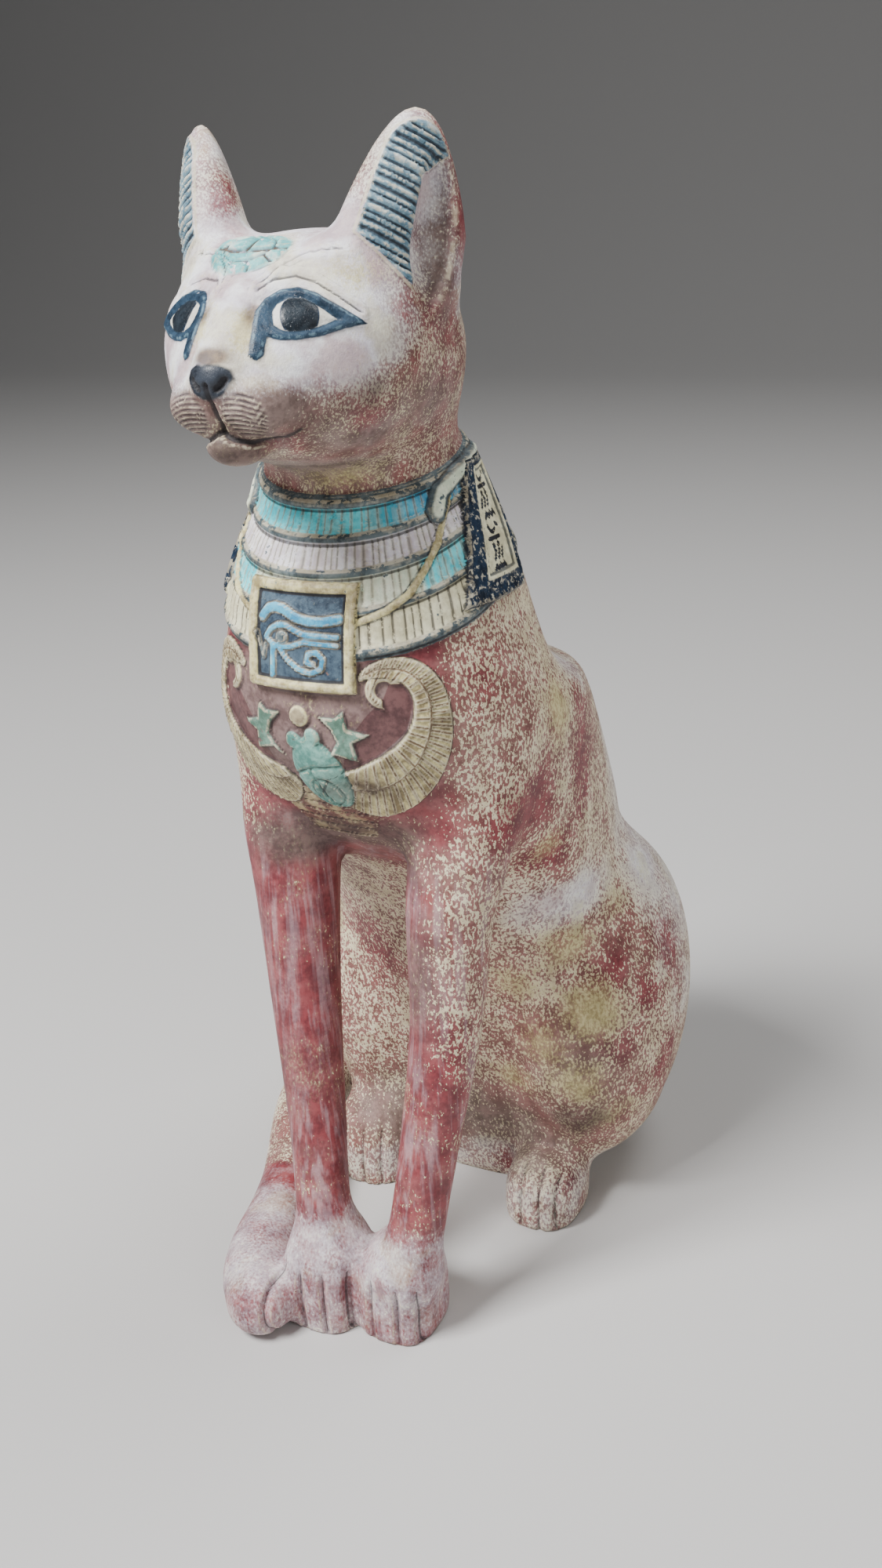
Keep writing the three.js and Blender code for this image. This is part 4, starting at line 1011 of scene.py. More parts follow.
@dataclass
class CarvedMesh:
    """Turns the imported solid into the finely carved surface."""

    body: Body
    relief: Relief
    voxel: float = 3.25

    @staticmethod
    def read(mesh: bpy.types.Mesh) -> Array:
        """Vertex positions in carving units.

        Args:
            mesh: The mesh that is worked on.

        Returns:
            One row for each vertex.
        """
        co = np.empty(len(mesh.vertices) * 3, np.float32)
        mesh.vertices.foreach_get("co", co)
        table = co.reshape(-1, 3).astype(float) / MM
        table[:, 1] += SEAT_CENTRE
        return table

    @staticmethod
    def write(mesh: bpy.types.Mesh, table: Array) -> None:
        """Puts positions in carving units back into the mesh.

        Args:
            mesh: The mesh that is worked on.
            table: Positions in carving units, one row each.
        """
        co = table.copy()
        co[:, 1] -= SEAT_CENTRE
        mesh.vertices.foreach_set("co", (co * MM).astype(np.float32).ravel())
        mesh.update()

    @staticmethod
    def ends(mesh: bpy.types.Mesh) -> Array:
        """The two vertices of each edge, in two rows.

        Args:
            mesh: The mesh that is worked on.

        Returns:
            Two rows of vertex numbers, one for each end.
        """
        pairs = np.empty(len(mesh.edges) * 2, np.int32)
        mesh.edges.foreach_get("vertices", pairs)
        return pairs.reshape(-1, 2).T

    @classmethod
    def neighbours(cls, mesh: bpy.types.Mesh, table: Array) -> Array:
        """Mean position of each vertex's neighbours.

        Args:
            mesh: The mesh that is worked on.
            table: Positions in carving units, one row each.

        Returns:
            One row for each vertex.
        """
        a, b = cls.ends(mesh)
        count = np.bincount(a, minlength=len(table)) + np.bincount(b, minlength=len(table))
        out = np.empty_like(table)
        for axis in range(table.shape[1]):
            out[:, axis] = np.bincount(a, table[b, axis], len(table)) + np.bincount(b, table[a, axis], len(table))
        return out / np.maximum(count, 1)[:, None]

    @classmethod
    def spacing(cls, mesh: bpy.types.Mesh, table: Array) -> Array:
        """Mean length of the edges at each vertex.

        Args:
            mesh: The mesh that is worked on.
            table: Positions in carving units, one row each.

        Returns:
            One length for each vertex.
        """
        a, b = cls.ends(mesh)
        long = np.linalg.norm(table[a] - table[b], axis=1)
        total = np.bincount(a, long, len(table)) + np.bincount(b, long, len(table))
        count = np.bincount(a, minlength=len(table)) + np.bincount(b, minlength=len(table))
        return total / np.maximum(count, 1)

    def start(self) -> bpy.types.Mesh:
        """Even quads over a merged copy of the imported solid.

        Returns:
            The even mesh, still without relief.
        """
        bm = bmesh.new()
        bm.from_mesh(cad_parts[NODE].data)
        bmesh.ops.remove_doubles(bm, verts=bm.verts, dist=1e-6)
        rough = bpy.data.meshes.new("rough")
        bm.to_mesh(rough)
        bm.free()
        holder = bpy.data.objects.new("rough", rough)
        bpy.context.scene.collection.objects.link(holder)
        remesh = holder.modifiers.new("even", "REMESH")
        remesh.mode = "VOXEL"
        remesh.voxel_size = self.voxel * MM
        shaped = holder.evaluated_get(bpy.context.evaluated_depsgraph_get())
        mesh = bpy.data.meshes.new_from_object(shaped)
        bpy.data.objects.remove(holder)
        return mesh

    def even_out(self, mesh: bpy.types.Mesh, rounds: int) -> Array:
        """Settles the mesh on the body and spreads its vertices along the surface.

        Args:
            mesh: The mesh that is worked on.
            rounds: How many times it spreads them.

        Returns:
            The new positions, which the mesh now has.
        """
        table = self.body.settle(self.read(mesh), 3)
        for _ in range(rounds):
            shift = self.neighbours(mesh, table) - table
            _, n = self.body.normal(table)
            shift -= n * (shift * n).sum(1)[:, None]
            table = self.body.settle(table + 0.6 * shift, 1)
        self.write(mesh, table)
        return table

    def refine(self, mesh: bpy.types.Mesh, level: int) -> None:
        """Splits the faces that need this level of detail.

        Args:
            mesh: The mesh that is worked on.
            level: The level of detail, as the relief asks for it.
        """
        wanted = self.relief.fineness(Points.of(self.read(mesh))) >= level
        bm = bmesh.new()
        bm.from_mesh(mesh)
        bm.verts.ensure_lookup_table()
        edges = {e for f in bm.faces if any(wanted[v.index] for v in f.verts) for e in f.edges}
        bmesh.ops.subdivide_edges(bm, edges=list(edges), cuts=1, use_grid_fill=True)
        bm.to_mesh(mesh)
        bm.free()

    def build(self) -> bpy.types.Object:
        """Makes the carved piece with its paint maps.

        Returns:
            The finished piece, without its material.
        """
        mesh = self.start()
        self.even_out(mesh, 4)
        for level in (1, 2):
            self.refine(mesh, level)
            self.even_out(mesh, 2)
        table = self.body.settle(self.read(mesh), 2)
        h, maps = self.relief.carve(Points.of(table))
        _, n = self.body.normal(table)
        flat = table[:, 2] < 0.6
        n[flat] = (0.0, 0.0, -1.0)
        carved = table + n * np.where(flat, 0.0, h)[:, None]
        carved[:, 2] = np.maximum(carved[:, 2], 0.0)
        self.write(mesh, carved)
        dip = ((self.neighbours(mesh, carved) - carved) * n).sum(1)
        maps.update(PatinaAndShade().tones(Points.of(table), dip / np.maximum(self.spacing(mesh, carved), 0.1)))
        for name, values in maps.items():
            layer = mesh.attributes.new(name, "FLOAT_VECTOR", "POINT")
            layer.data.foreach_set("vector", np.clip(values, -400, 400).astype(np.float32).ravel())
        mesh.polygons.foreach_set("use_smooth", np.ones(len(mesh.polygons), bool))
        mesh.name = "cat_carved"
        piece = bpy.data.objects.new("cat_carved", mesh)
        bpy.context.scene.collection.objects.link(piece)
        return piece


@dataclass(frozen=True)
class Patch:
    """A soft-edged patch of paint: its centre, its reach along each axis and its strength."""

    at: tuple[float, float, float]
    reach: tuple[float, float, float]
    much: float = 1.0


@dataclass(frozen=True)
class PatinaAndShade:
    """Where the worn paint is plain red, yellow, pale, mauve or brown, and where mauve and dark paint stand for painted
    shade under the chin, the chest and the haunch.
    """

    red: Sequence[Patch] = (
        Patch((51, -24, 193), (14, 17, 13)), Patch((54, 16, 196), (12, 8, 24), 0.85),
        Patch((49, -1, 168), (16, 12, 8), 0.7), Patch((71, 60, 106), (16, 10, 12), 0.6),
        Patch((71, 44, 94), (14, 9, 9), 0.6), Patch((60, 29, 109), (12, 9, 8), 0.5),
        Patch((64, 27, 78), (12, 9, 8), 0.5), Patch((74, 53, 62), (14, 11, 12), 0.6),
        Patch((46, -40, 244), (10, 9, 9), 0.35), Patch((30, -56, 104), (14, 12, 40), 0.55),
        Patch((-27, -54, 108), (17, 17, 44), 0.7), Patch((-30, -50, 168), (17, 17, 30), 0.5),
        Patch((-36, -86, 17), (8, 8, 7), 1.0), Patch((-44, -62, 24), (9, 13, 7), 0.6),
        Patch((-17, -76, 24), (3.2, 9, 7), 0.9), Patch((-9, -72, 30), (3.5, 9, 7), 0.7),
        Patch((10, -73, 25), (3.2, 9, 6), 1.0), Patch((16, 31, 12), (6, 9, 8), 0.9),
        Patch((46, 18, 20), (9, 9, 6), 0.5), Patch((35, -42, 334), (8, 10, 6), 0.45),
        Patch((39, -49, 346), (6, 9, 7), 0.4), Patch((29, -70, 325), (7, 7, 6), 0.75),
        Patch((33, -36, 317), (8, 9, 4), 0.4), Patch((-32, -46, 191), (18, 16, 10), 0.6),
        Patch((-27, 10, 115), (13, 22, 17), 0.5), Patch((20, -63, 218), (9, 9, 6), 0.6),
        Patch((-20, -56, 379), (4.5, 7, 5), 0.8), Patch((44, -34, 370), (4, 7, 18), 1.1),
        Patch((11, -88, 319), (7, 9, 3), 0.6), Patch((2, -96, 347), (5, 7, 3.5), 0.3),
        Patch((-60, 40, 90), (14, 12, 16), 0.6), Patch((-52, -8, 196), (13, 17, 14), 0.8),
        Patch((-68, 70, 60), (16, 14, 16), 0.6), Patch((20, 100, 150), (16, 16, 18), 0.6),
        Patch((-16, 112, 96), (18, 14, 16), 0.6), Patch((8, 60, 214), (15, 16, 12), 0.6),
        Patch((0, 120, 44), (24, 14, 14), 0.5), Patch((-84, 56, 17), (8, 15, 10), 0.6),
    )
    olive: Sequence[Patch] = (
        Patch((49, 18, 124), (15, 14, 12), 0.8), Patch((55, 21, 95), (13, 13, 14), 0.9),
        Patch((37, 15, 81), (13, 13, 13), 0.8), Patch((49, -2, 173), (12, 8, 8), 0.6),
        Patch((55, -5, 222), (11, 9, 12), 0.9), Patch((30, -66, 361), (10, 9, 6), 0.7),
        Patch((7, -91, 348), (3.5, 7, 6.5), 1.1), Patch((24, 22, 58), (11, 13, 11), 0.7),
        Patch((58, 38, 132), (13, 12, 9), 0.5), Patch((60, 30, 45), (13, 12, 12), 0.6),
        Patch((52, 18, 64), (13, 12, 11), 0.7), Patch((27, 11, 108), (11, 11, 13), 0.6),
        Patch((7, -51, 304), (13, 9, 5), 0.7), Patch((-7, -91, 348), (3.5, 7, 6.5), 0.9),
        Patch((-56, 24, 120), (15, 14, 18), 0.7), Patch((-60, 36, 66), (15, 14, 16), 0.7),
        Patch((0, 104, 128), (24, 14, 18), 0.6), Patch((-50, -4, 225), (12, 10, 14), 0.7),
        Patch((36, 98, 80), (18, 16, 18), 0.6),
    )
    pale: Sequence[Patch] = (
        Patch((40, 30, 232), (22, 20, 22), 0.7), Patch((34, 64, 196), (26, 24, 26), 0.6),
        Patch((58, 70, 136), (22, 18, 15), 0.7), Patch((76, 74, 88), (12, 20, 30), 0.5),
        Patch((46, 18, 143), (24, 26, 15), 0.75), Patch((20, -64, 371), (26, 22, 10), 1.1),
        Patch((0, -86, 356), (22, 26, 14), 1.3), Patch((19, -86, 341), (13, 10, 8), 1.2),
        Patch((25, -80, 341), (14, 14, 9), 1.0), Patch((-26, -78, 341), (14, 16, 9), 1.0),
        Patch((0, -98, 345), (14, 14, 9), 1.1), Patch((34, -57, 366), (13, 16, 11), 0.8),
        Patch((-30, -58, 366), (15, 16, 14), 1.1), Patch((33, -46, 386), (10, 12, 18), 1.0),
        Patch((-33, -46, 386), (11, 12, 18), 1.1), Patch((42, -34, 356), (10, 10, 12), 0.65),
        Patch((18, -80, 360), (14, 14, 8), 1.1), Patch((-46, 40, 222), (22, 24, 26), 0.6),
        Patch((-60, 76, 130), (22, 20, 20), 0.6),
    )
    # Mauve paint, partly the paint's own on the chest front and partly painted shade under the chin, the throat, the
    # chest, low between the legs and in the ear hollow.
    mauve_and_shade: Sequence[Patch] = (
        Patch((0, 20, 30), (60, 17, 24), 0.9), Patch((48, 24, 74), (26, 26, 30), 0.55),
        Patch((-37, 14, 34), (17, 16, 16), 0.7), Patch((13, -96, 330), (14, 13, 8), 1.2),
        Patch((-12, -96, 330), (14, 13, 8), 1.2), Patch((26, -70, 320), (19, 17, 9), 0.9),
        Patch((0, -62, 308), (30, 25, 9), 0.9), Patch((3, -93, 319), (13, 13, 7), 1.7),
        Patch((-19, -45, 186), (20, 18, 10), 1.2), Patch((36, -50, 325), (10, 24, 16), 0.6),
        Patch((16, -42, 178), (25, 17, 9), 0.6), Patch((-14, -66, 228), (28, 24, 32), 1.25),
        Patch((16, -66, 228), (24, 24, 32), 1.2), Patch((0, -40, 190), (34, 20, 10), 0.8),
        Patch((39, -42, 366), (6, 8, 22), 1.1), Patch((24, -52, 140), (12, 12, 30), 0.6),
        Patch((-27, -52, 80), (14, 12, 40), 0.5), Patch((-62, 0, 22), (16, 30, 14), 0.45),
    )
    brown: Sequence[Patch] = (
        Patch((7.5, -89, 353.5), (2.8, 5, 5), 0.9), Patch((-7.5, -89, 353.5), (2.8, 5, 5), 0.8),
        Patch((0, -99, 343.2), (6.5, 6, 2.6), 1.2), Patch((36, -68, 351), (6, 5, 3), 0.4),
    )
    # Painted shade: dark patches under the chin, the chest, the low haunch, low at the back and in the ear hollow.
    painted_shade: Sequence[Patch] = (
        Patch((4, -97, 319), (13, 9, 6), 1.0), Patch((-22, -49, 181), (20, 15, 10), 0.9),
        Patch((12, -62, 212), (15, 12, 9), 0.7), Patch((4, -46, 189), (24, 14, 11), 0.8),
        Patch((50, 22, 46), (18, 16, 11), 0.75), Patch((39, -42, 370), (5, 6, 20), 0.3),
        Patch((29, -74, 331), (11, 12, 7), 0.7), Patch((18, -85, 324), (12, 10, 6), 0.7),
        Patch((-16, -70, 216), (14, 14, 16), 0.5), Patch((20, 18, 26), (24, 22, 18), 0.7),
        Patch((6, -60, 306), (28, 22, 7), 0.6),
    )

    @staticmethod
    def spread(p: Points, patches: Sequence[Patch]) -> Array:
        """Strongest of the patches at each position.

        Args:
            p: Positions in carving units.
            patches: The patches to look at.

        Returns:
            Strength at each position, 0 far from all patches.
        """
        best = np.zeros(p.x.shape)
        for patch in patches:
            r = sum(((v - c) / s)**2 for v, c, s in zip((p.x, p.y, p.z), patch.at, patch.reach))
            best = np.maximum(best, patch.much * np.exp(-r))
        return best

    def tones(self, p: Points, dip: Array) -> Maps:
        """Maps of the patches, of how dense the cream flecks lie and of the hollows.

        Args:
            p: Positions in carving units.
            dip: How far each vertex lies below its neighbours, as a share of their distance.

        Returns:
            The paint maps by name.
        """
        face = fade((p.z - 327) / 16.0) * fade((-42 - p.y - 0.7 * np.clip(350 - p.z, 0, 30)) / 34.0)
        brow = fade((p.z - 356) / 10.0) * fade((382 - p.z) / 10.0) * fade((6 - p.y) / 34.0) * fade((38 - p.ax) / 8.0)
        face = np.maximum(face, 0.85 * brow)
        front = fade((-26 - p.y) / 10.0)
        paws = (0.42 + 0.16 * fade((p.z - 14) / 14.0)) * fade((54 - p.z) / 16.0) * front
        paws = paws + 0.40 * fade((28 - p.z) / 14.0) * (1.0 - front)
        back = fade((p.y - 20) / 60.0) * fade((p.z - 60) / 60.0)
        pale = np.maximum.reduce([self.spread(p, self.pale), 1.05 * face, paws, 0.55 * back])
        leg = fade((192 - p.z) / 20.0) * fade((-16 - p.y) / 12.0)
        side = fade((p.x - 16) / 18.0) * fade((p.z - 40) / 90.0)
        fleck = 0.81 * (1.0 - leg) + leg * (0.12 + 0.62 * side)
        fleck = fleck + (0.72 - fleck) * fade((p.z - 292) / 10.0)
        chest = fade((p.z - 180) / 14.0) * fade((262 - p.z) / 6.0) * fade((-36 - p.y) / 12.0) * fade((42 - p.ax) / 10.0)
        fleck = fleck + (0.32 - fleck) * chest
        head = fade((p.z - 290) / 12.0)
        return {
            "patch": paint_map(self.spread(p, self.red), self.spread(p, self.olive), pale),
            "tone": paint_map(fleck, self.spread(p, self.mauve_and_shade), dip),
            "grain": paint_map(self.spread(p, self.brown), leg, head),
            "painted_shade": paint_map(self.spread(p, self.painted_shade)),
        }


# Finishes

def shade(r: float, g: float, b: float) -> Color:
    """Linear colour of a display colour from 0 to 255."""
    return tuple(v / 255 / 12.92 if v < 10 else ((v / 255 + 0.055) / 1.055)**2.4 for v in (r, g, b))


@dataclass(frozen=True)
class Finish:
    """One paint: its two tones, its roughness and how much of it is worn off."""

    light: Color
    dark: Color
    rough: float = 0.6
    worn: float = 0.2


class Coat(Enum):
    """The paints of the figure."""

    CRIMSON = Finish(shade(142, 58, 64), shade(102, 37, 45), 0.50)
    ROSE = Finish(shade(168, 108, 108), shade(138, 80, 82), 0.56)
    CREAM = Finish(shade(246, 237, 206), shade(218, 203, 170), 0.72)
    OLIVE = Finish(shade(214, 202, 142), shade(180, 167, 110), 0.70)
    LAVENDER = Finish(shade(248, 250, 253), shade(230, 226, 236), 0.62)
    MAUVE = Finish(shade(140, 120, 116), shade(100, 82, 80), 0.66)
    # Dark grey-brown laid as painted shade.
    PAINTED_SHADE = Finish(shade(104, 84, 78), shade(72, 57, 54), 0.66)
    BROWN = Finish(shade(120, 90, 62), shade(78, 58, 44), 0.60)
    TEAL = Finish(shade(112, 240, 250), shade(62, 198, 214), 0.50, 0.06)
    SKY = Finish(shade(90, 188, 222), shade(56, 140, 182), 0.48, 0.10)
    LILAC = Finish(shade(248, 246, 250), shade(218, 208, 218), 0.62, 0.12)
    CHALK_GREEN = Finish(shade(244, 250, 228), shade(210, 222, 196), 0.62, 0.12)
    STRAW = Finish(shade(246, 243, 208), shade(212, 206, 170), 0.60, 0.12)
    GOLD = Finish(shade(232, 222, 162), shade(156, 142, 100), 0.46, 0.10)
    SLATE = Finish(shade(84, 104, 120), shade(46, 60, 76), 0.48, 0.16)
    NAVY = Finish(shade(40, 60, 84), shade(18, 28, 42), 0.42, 0.10)
    ROLL = Finish(shade(104, 118, 122), shade(58, 70, 76), 0.52, 0.10)
    LEAF = Finish(shade(122, 158, 142), shade(82, 114, 98), 0.55, 0.16)
    BEETLE = Finish(shade(138, 188, 174), shade(78, 130, 120), 0.48, 0.10)
    PLUM = Finish(shade(112, 76, 76), shade(78, 50, 52), 0.52, 0.06)
    WHITE = Finish(shade(236, 236, 228), shade(204, 200, 188), 0.50, 0.04)
    IRIS = Finish(shade(40, 49, 57), shade(23, 29, 36), 0.34, 0.04)
    LINER = Finish(shade(52, 74, 94), shade(26, 42, 58), 0.40, 0.06)
    NOSE = Finish(shade(58, 64, 74), shade(30, 34, 42), 0.42, 0.04)
    PANEL = Finish(shade(136, 166, 180), shade(92, 124, 142), 0.56, 0.12)
    CROWN = Finish(shade(142, 216, 212), shade(88, 168, 172), 0.50, 0.30)
    INK = Finish(shade(48, 46, 50), shade(26, 25, 28), 0.66, 0.10)
    CHALK = Finish(shade(222, 214, 190), shade(188, 178, 150), 0.70, 0.24)


Input = bpy.types.NodeSocket | float | Sequence[float]


class Graph:
    """Short names for the shader nodes that the paint is made of."""

    def __init__(self, tree: bpy.types.NodeTree) -> None:
        """Takes the tree and sets up the piece's own coordinates.

        Args:
            tree: The material's node tree.
        """
        self.tree = tree
        self.place = tree.nodes.new("ShaderNodeTexCoord").outputs["Object"]
        self.known: dict[str, bpy.types.Node] = {}

    def put(self, socket: bpy.types.NodeSocket, value: Input) -> None:
        """Links a socket to a value's socket, or sets it.

        Args:
            socket: The input that is set.
            value: A socket, a number or a row of numbers.
        """
        if isinstance(value, bpy.types.NodeSocket):
            self.tree.links.new(value, socket)
        elif isinstance(value, tuple) and socket.type == "RGBA":
            socket.default_value = (*value, 1.0)
        else:
            socket.default_value = value

    def math(self, kind: str, a: Input, b: Input = 0.0, c: Input = 0.0) -> bpy.types.NodeSocket:
        """One sum of up to three values.

        Args:
            kind: The node's operation.
            a: First value.
            b: Second value.
            c: Third value.

        Returns:
            The result.
        """
        node = self.tree.nodes.new("ShaderNodeMath")
        node.operation = kind
        for socket, value in zip(node.inputs, (a, b, c)):
            self.put(socket, value)
        return node.outputs[0]

    def rise(self, value: Input, low: float, high: float) -> bpy.types.NodeSocket:
        """0 at low and 1 at high, smooth between them.

        Args:
            value: What it follows.
            low: Value that gives 0.
            high: Value that gives 1, which may lie below low.

        Returns:
            The result from 0 to 1.
        """
        node = self.tree.nodes.new("ShaderNodeMapRange")
        node.interpolation_type = "SMOOTHSTEP"
        self.put(node.inputs[0], value)
        node.inputs[1].default_value, node.inputs[2].default_value = low, high
        return node.outputs[0]

    def map(self, name: str, axis: int) -> bpy.types.NodeSocket:
        """One value of a paint map.

        Args:
            name: The map's name.
            axis: Which of its three values.

        Returns:
            The value.
        """
        if name not in self.known:
            source = self.tree.nodes.new("ShaderNodeAttribute")
            source.attribute_name = name
            split = self.tree.nodes.new("ShaderNodeSeparateXYZ")
            self.put(split.inputs[0], source.outputs["Vector"])
            self.known[name] = split
        return self.known[name].outputs[axis]

    def noise(self, size: float, detail: float = 2.0, shape: Sequence[float] = (1, 1, 1), shift: float = 0.0,
              rough: float = 0.5) -> bpy.types.NodeSocket:
        """Cloudy value whose features are about size millimetres wide.

        Args:
            size: Width of a feature in millimetres.
            detail: Number of finer layers.
            shape: Stretch along each axis.
            shift: Place in the pattern.
            rough: Strength of the finer layers.

        Returns:
            The value, about 0.5 on average.
        """
        turn = self.tree.nodes.new("ShaderNodeMapping")
        self.put(turn.inputs["Vector"], self.place)
        turn.inputs["Location"].default_value = (shift, shift * 0.7, -shift)
        turn.inputs["Scale"].default_value = shape
        node = self.tree.nodes.new("ShaderNodeTexNoise")
        self.put(node.inputs["Vector"], turn.outputs[0])
        node.inputs["Scale"].default_value = 1000.0 / size
        node.inputs["Detail"].default_value = detail
        node.inputs["Roughness"].default_value = rough
        return node.outputs[0]

    def blend(self, much: Input, a: Input, b: Input) -> bpy.types.NodeSocket:
        """Colour a turned to colour b.

        Args:
            much: Share of b.
            a: Colour at 0.
            b: Colour at 1.

        Returns:
            The mixed colour.
        """
        node = self.tree.nodes.new("ShaderNodeMix")
        node.data_type = "RGBA"
        self.put(node.inputs[0], much)
        self.put(node.inputs[6], a)
        self.put(node.inputs[7], b)
        return node.outputs[2]

    def bump(self, height: Input, grain: Input, pits: Input) -> bpy.types.NodeSocket:
        """Normal of a surface raised by height in millimetres, with grain and fine pits.

        Args:
            height: Height of the paint layers.
            grain: Pattern of the coarser grain.
            pits: Pattern of the fine pits.

        Returns:
            The normal.
        """
        total = self.math("MULTIPLY_ADD", grain, 0.10, self.math("MULTIPLY_ADD", pits, 0.05, height))
        node = self.tree.nodes.new("ShaderNodeBump")
        node.inputs["Strength"].default_value = 0.8
        node.inputs["Distance"].default_value = MM
        self.put(node.inputs["Height"], total)
        return node.outputs[0]

    def line(self, count: Input, pitch: Input) -> bpy.types.NodeSocket:
        """Distance to the nearest whole count, for lines set pitch apart."""
        near = self.math("ROUND", count)
        return self.math("MULTIPLY", self.math("ABSOLUTE", self.math("SUBTRACT", count, near)), pitch)


class WornPaint:
    """Layers of worn paint over a crimson ground, with some painted shade and painted highlights, laid by the piece's
    own maps.
    """

    def __init__(self) -> None:
        """Starts the material and the textures that all layers share."""
        self.material = bpy.data.materials.new("worn_paint")
        self.material.use_nodes = True
        self.g = Graph(self.material.node_tree)
        self.tint = self.g.noise(7.0, 4.0, shift=0.31)
        self.speck = self.g.noise(1.5, 3.0, shift=0.11, rough=0.6)
        self.wobble = self.g.math("MULTIPLY_ADD", self.g.noise(2.2, 2.0, shift=0.53), 0.7, -0.35)
        self.chip = self.g.noise(2.6, 4.0, shift=0.83, rough=0.65)
        self.color: Input = (0.3, 0.1, 0.1)
        self.rough: Input = 0.5
        self.height: Input = 0.0

    def within(self, edge: Input, inset: float = 0.0, soft: float = 0.2) -> bpy.types.NodeSocket:
        """1 where a signed distance is below -inset, with a slightly uneven paint edge."""
        moved = self.g.math("MULTIPLY_ADD", self.wobble, 0.55, edge)
        return self.g.rise(moved, -inset + soft, -inset - soft)

    def both(self, *masks: Input) -> Input:
        """Product of the masks.

        Args:
            masks: Values from 0 to 1.

        Returns:
            Their product.
        """
        out = masks[0]
        for mask in masks[1:]:
            out = self.g.math("MULTIPLY", out, mask)
        return out

    def lay(self, coat: Coat, mask: Input, worn: float | None = None, thick: float = 0.0) -> None:
        """Lays one coat of paint.

        Args:
            coat: The paint.
            mask: Where it lies, from 0 to 1.
            worn: Share that has chipped off, in place of the paint's own.
            thick: Height that it adds, in millimetres.
        """
        finish = coat.value
        share = finish.worn if worn is None else worn
        if share > 0.0:
            mask = self.both(mask, self.g.rise(self.chip, 0.25 + 0.4 * share, 0.31 + 0.4 * share))
        tone = self.g.math("ADD", self.g.math("MULTIPLY", self.tint, 0.6), self.g.math("MULTIPLY", self.speck, 0.4))
        colour = self.g.blend(self.g.rise(tone, 0.38, 0.62), finish.dark, finish.light)
        self.color = self.g.blend(mask, self.color, colour)
        soft = self.g.math("SUBTRACT", finish.rough, self.rough)
        self.rough = self.g.math("MULTIPLY_ADD", mask, soft, self.rough)
        if thick:
            self.height = self.g.math("MULTIPLY_ADD", mask, thick, self.height)

    def ground(self) -> None:
        """Crimson ground, broken cream flecks, yellow, mauve and pale patches; the mauve under the chin and chest is
        painted shade.
        """
        g = self.g
        cloud, drift = g.noise(24.0, 4.0, shift=0.2), g.noise(9.0, 4.0, shift=0.6)
        red, olive, pale = (g.map("patch", k) for k in range(3))
        dense, mauve_and_shade = g.map("tone", 0), g.map("tone", 1)
        brown, leg, head = (g.map("grain", k) for k in range(3))
        soft = g.math("ADD", g.math("MULTIPLY", cloud, 0.55), g.math("MULTIPLY", drift, 0.45))
        self.lay(Coat.CRIMSON, 1.0, 0.0)
        self.lay(Coat.ROSE, self.both(g.math("MULTIPLY_ADD", g.rise(drift, 0.36, 0.62), 0.55, 0.12),
                                      g.math("MULTIPLY_ADD", leg, -0.2, 1.0)), 0.0)
        streak, hairs = g.noise(3.4, 3.0, (1, 1, 0.08), 0.4), g.noise(1.0, 2.0, (1, 1, 0.05), 0.15)
        brush = self.both(leg, g.rise(g.math("ADD", streak, g.math("MULTIPLY", hairs, 0.5)), 0.68, 0.96), 0.20)
        self.lay(Coat.LILAC, brush, 0.0)
        # Mauve over the mauve patches, painted shade where they lie under the chin and chest.
        shadow = g.math("ADD", mauve_and_shade, g.math("MULTIPLY", soft, 0.9))
        self.lay(Coat.MAUVE, self.both(g.rise(shadow, 0.55, 1.25), 0.9), 0.0)
        dusty = g.rise(g.math("SUBTRACT", g.math("ADD", dense, g.math("MULTIPLY", soft, 0.7)), red), 0.65, 1.35)
        self.lay(Coat.MAUVE, self.both(dusty, 0.22), 0.0)
        self.lay(Coat.CREAM, self.both(dusty, 0.12), 0.0)
        grain = g.noise(0.92, 2.0, (1, 1, 0.6), 0.9, 0.55)
        fine = g.noise(0.62, 2.0, (1, 1, 0.7), 0.35, 0.6)
        coarse = g.math("MULTIPLY", grain, g.math("MULTIPLY_ADD", head, -0.50, 0.72))
        mixed = g.math("ADD", coarse, g.math("MULTIPLY", fine, g.math("MULTIPLY_ADD", head, 0.50, 0.28)))
        self.lay(Coat.MAUVE, self.both(head, g.rise(drift, 0.34, 0.6), 0.5), 0.0)
        amount = g.math("MULTIPLY_ADD", dense, 0.20, g.math("MULTIPLY", soft, 0.42))
        amount = g.math("SUBTRACT", amount, g.math("MULTIPLY", g.math("MAXIMUM", red, mauve_and_shade), 0.12))
        amount = g.math("MULTIPLY_ADD", pale, 0.04, amount)
        flecks = g.rise(g.math("ADD", mixed, amount), 0.848, 0.900)
        self.lay(Coat.CREAM, self.both(flecks, g.math("MULTIPLY_ADD", head, -0.30, 0.95)), 0.0, 0.05)
        wash = g.math("ADD", pale, g.math("MULTIPLY_ADD", soft, 1.3, -0.65))
        wash = g.math("ADD", wash, g.math("MULTIPLY_ADD", mixed, 0.9, -0.45))
        self.lay(Coat.LAVENDER, self.both(g.rise(wash, 0.15, 0.95), 0.92), 0.0)
        spots = g.math("ADD", olive, g.math("MULTIPLY_ADD", soft, 2.0, -1.0))
        broken = g.rise(g.math("ADD", spots, g.math("MULTIPLY_ADD", mixed, 2.2, -1.1)), 0.12, 0.95)
        self.lay(Coat.OLIVE, self.both(broken, 0.74), 0.0, 0.03)
        glow = g.math("SUBTRACT", red, g.math("MULTIPLY_ADD", mixed, 1.5, -0.65))
        glow = g.math("ADD", glow, g.math("MULTIPLY_ADD", soft, 1.2, -0.6))
        self.lay(Coat.CRIMSON, self.both(g.rise(glow, 0.12, 0.85), 0.62), 0.0)
        haze = g.noise(15.0, 4.0, shift=0.77)
        blush = self.both(g.rise(haze, 0.47, 0.62), g.rise(pale, 0.3, 0.9), 0.50)
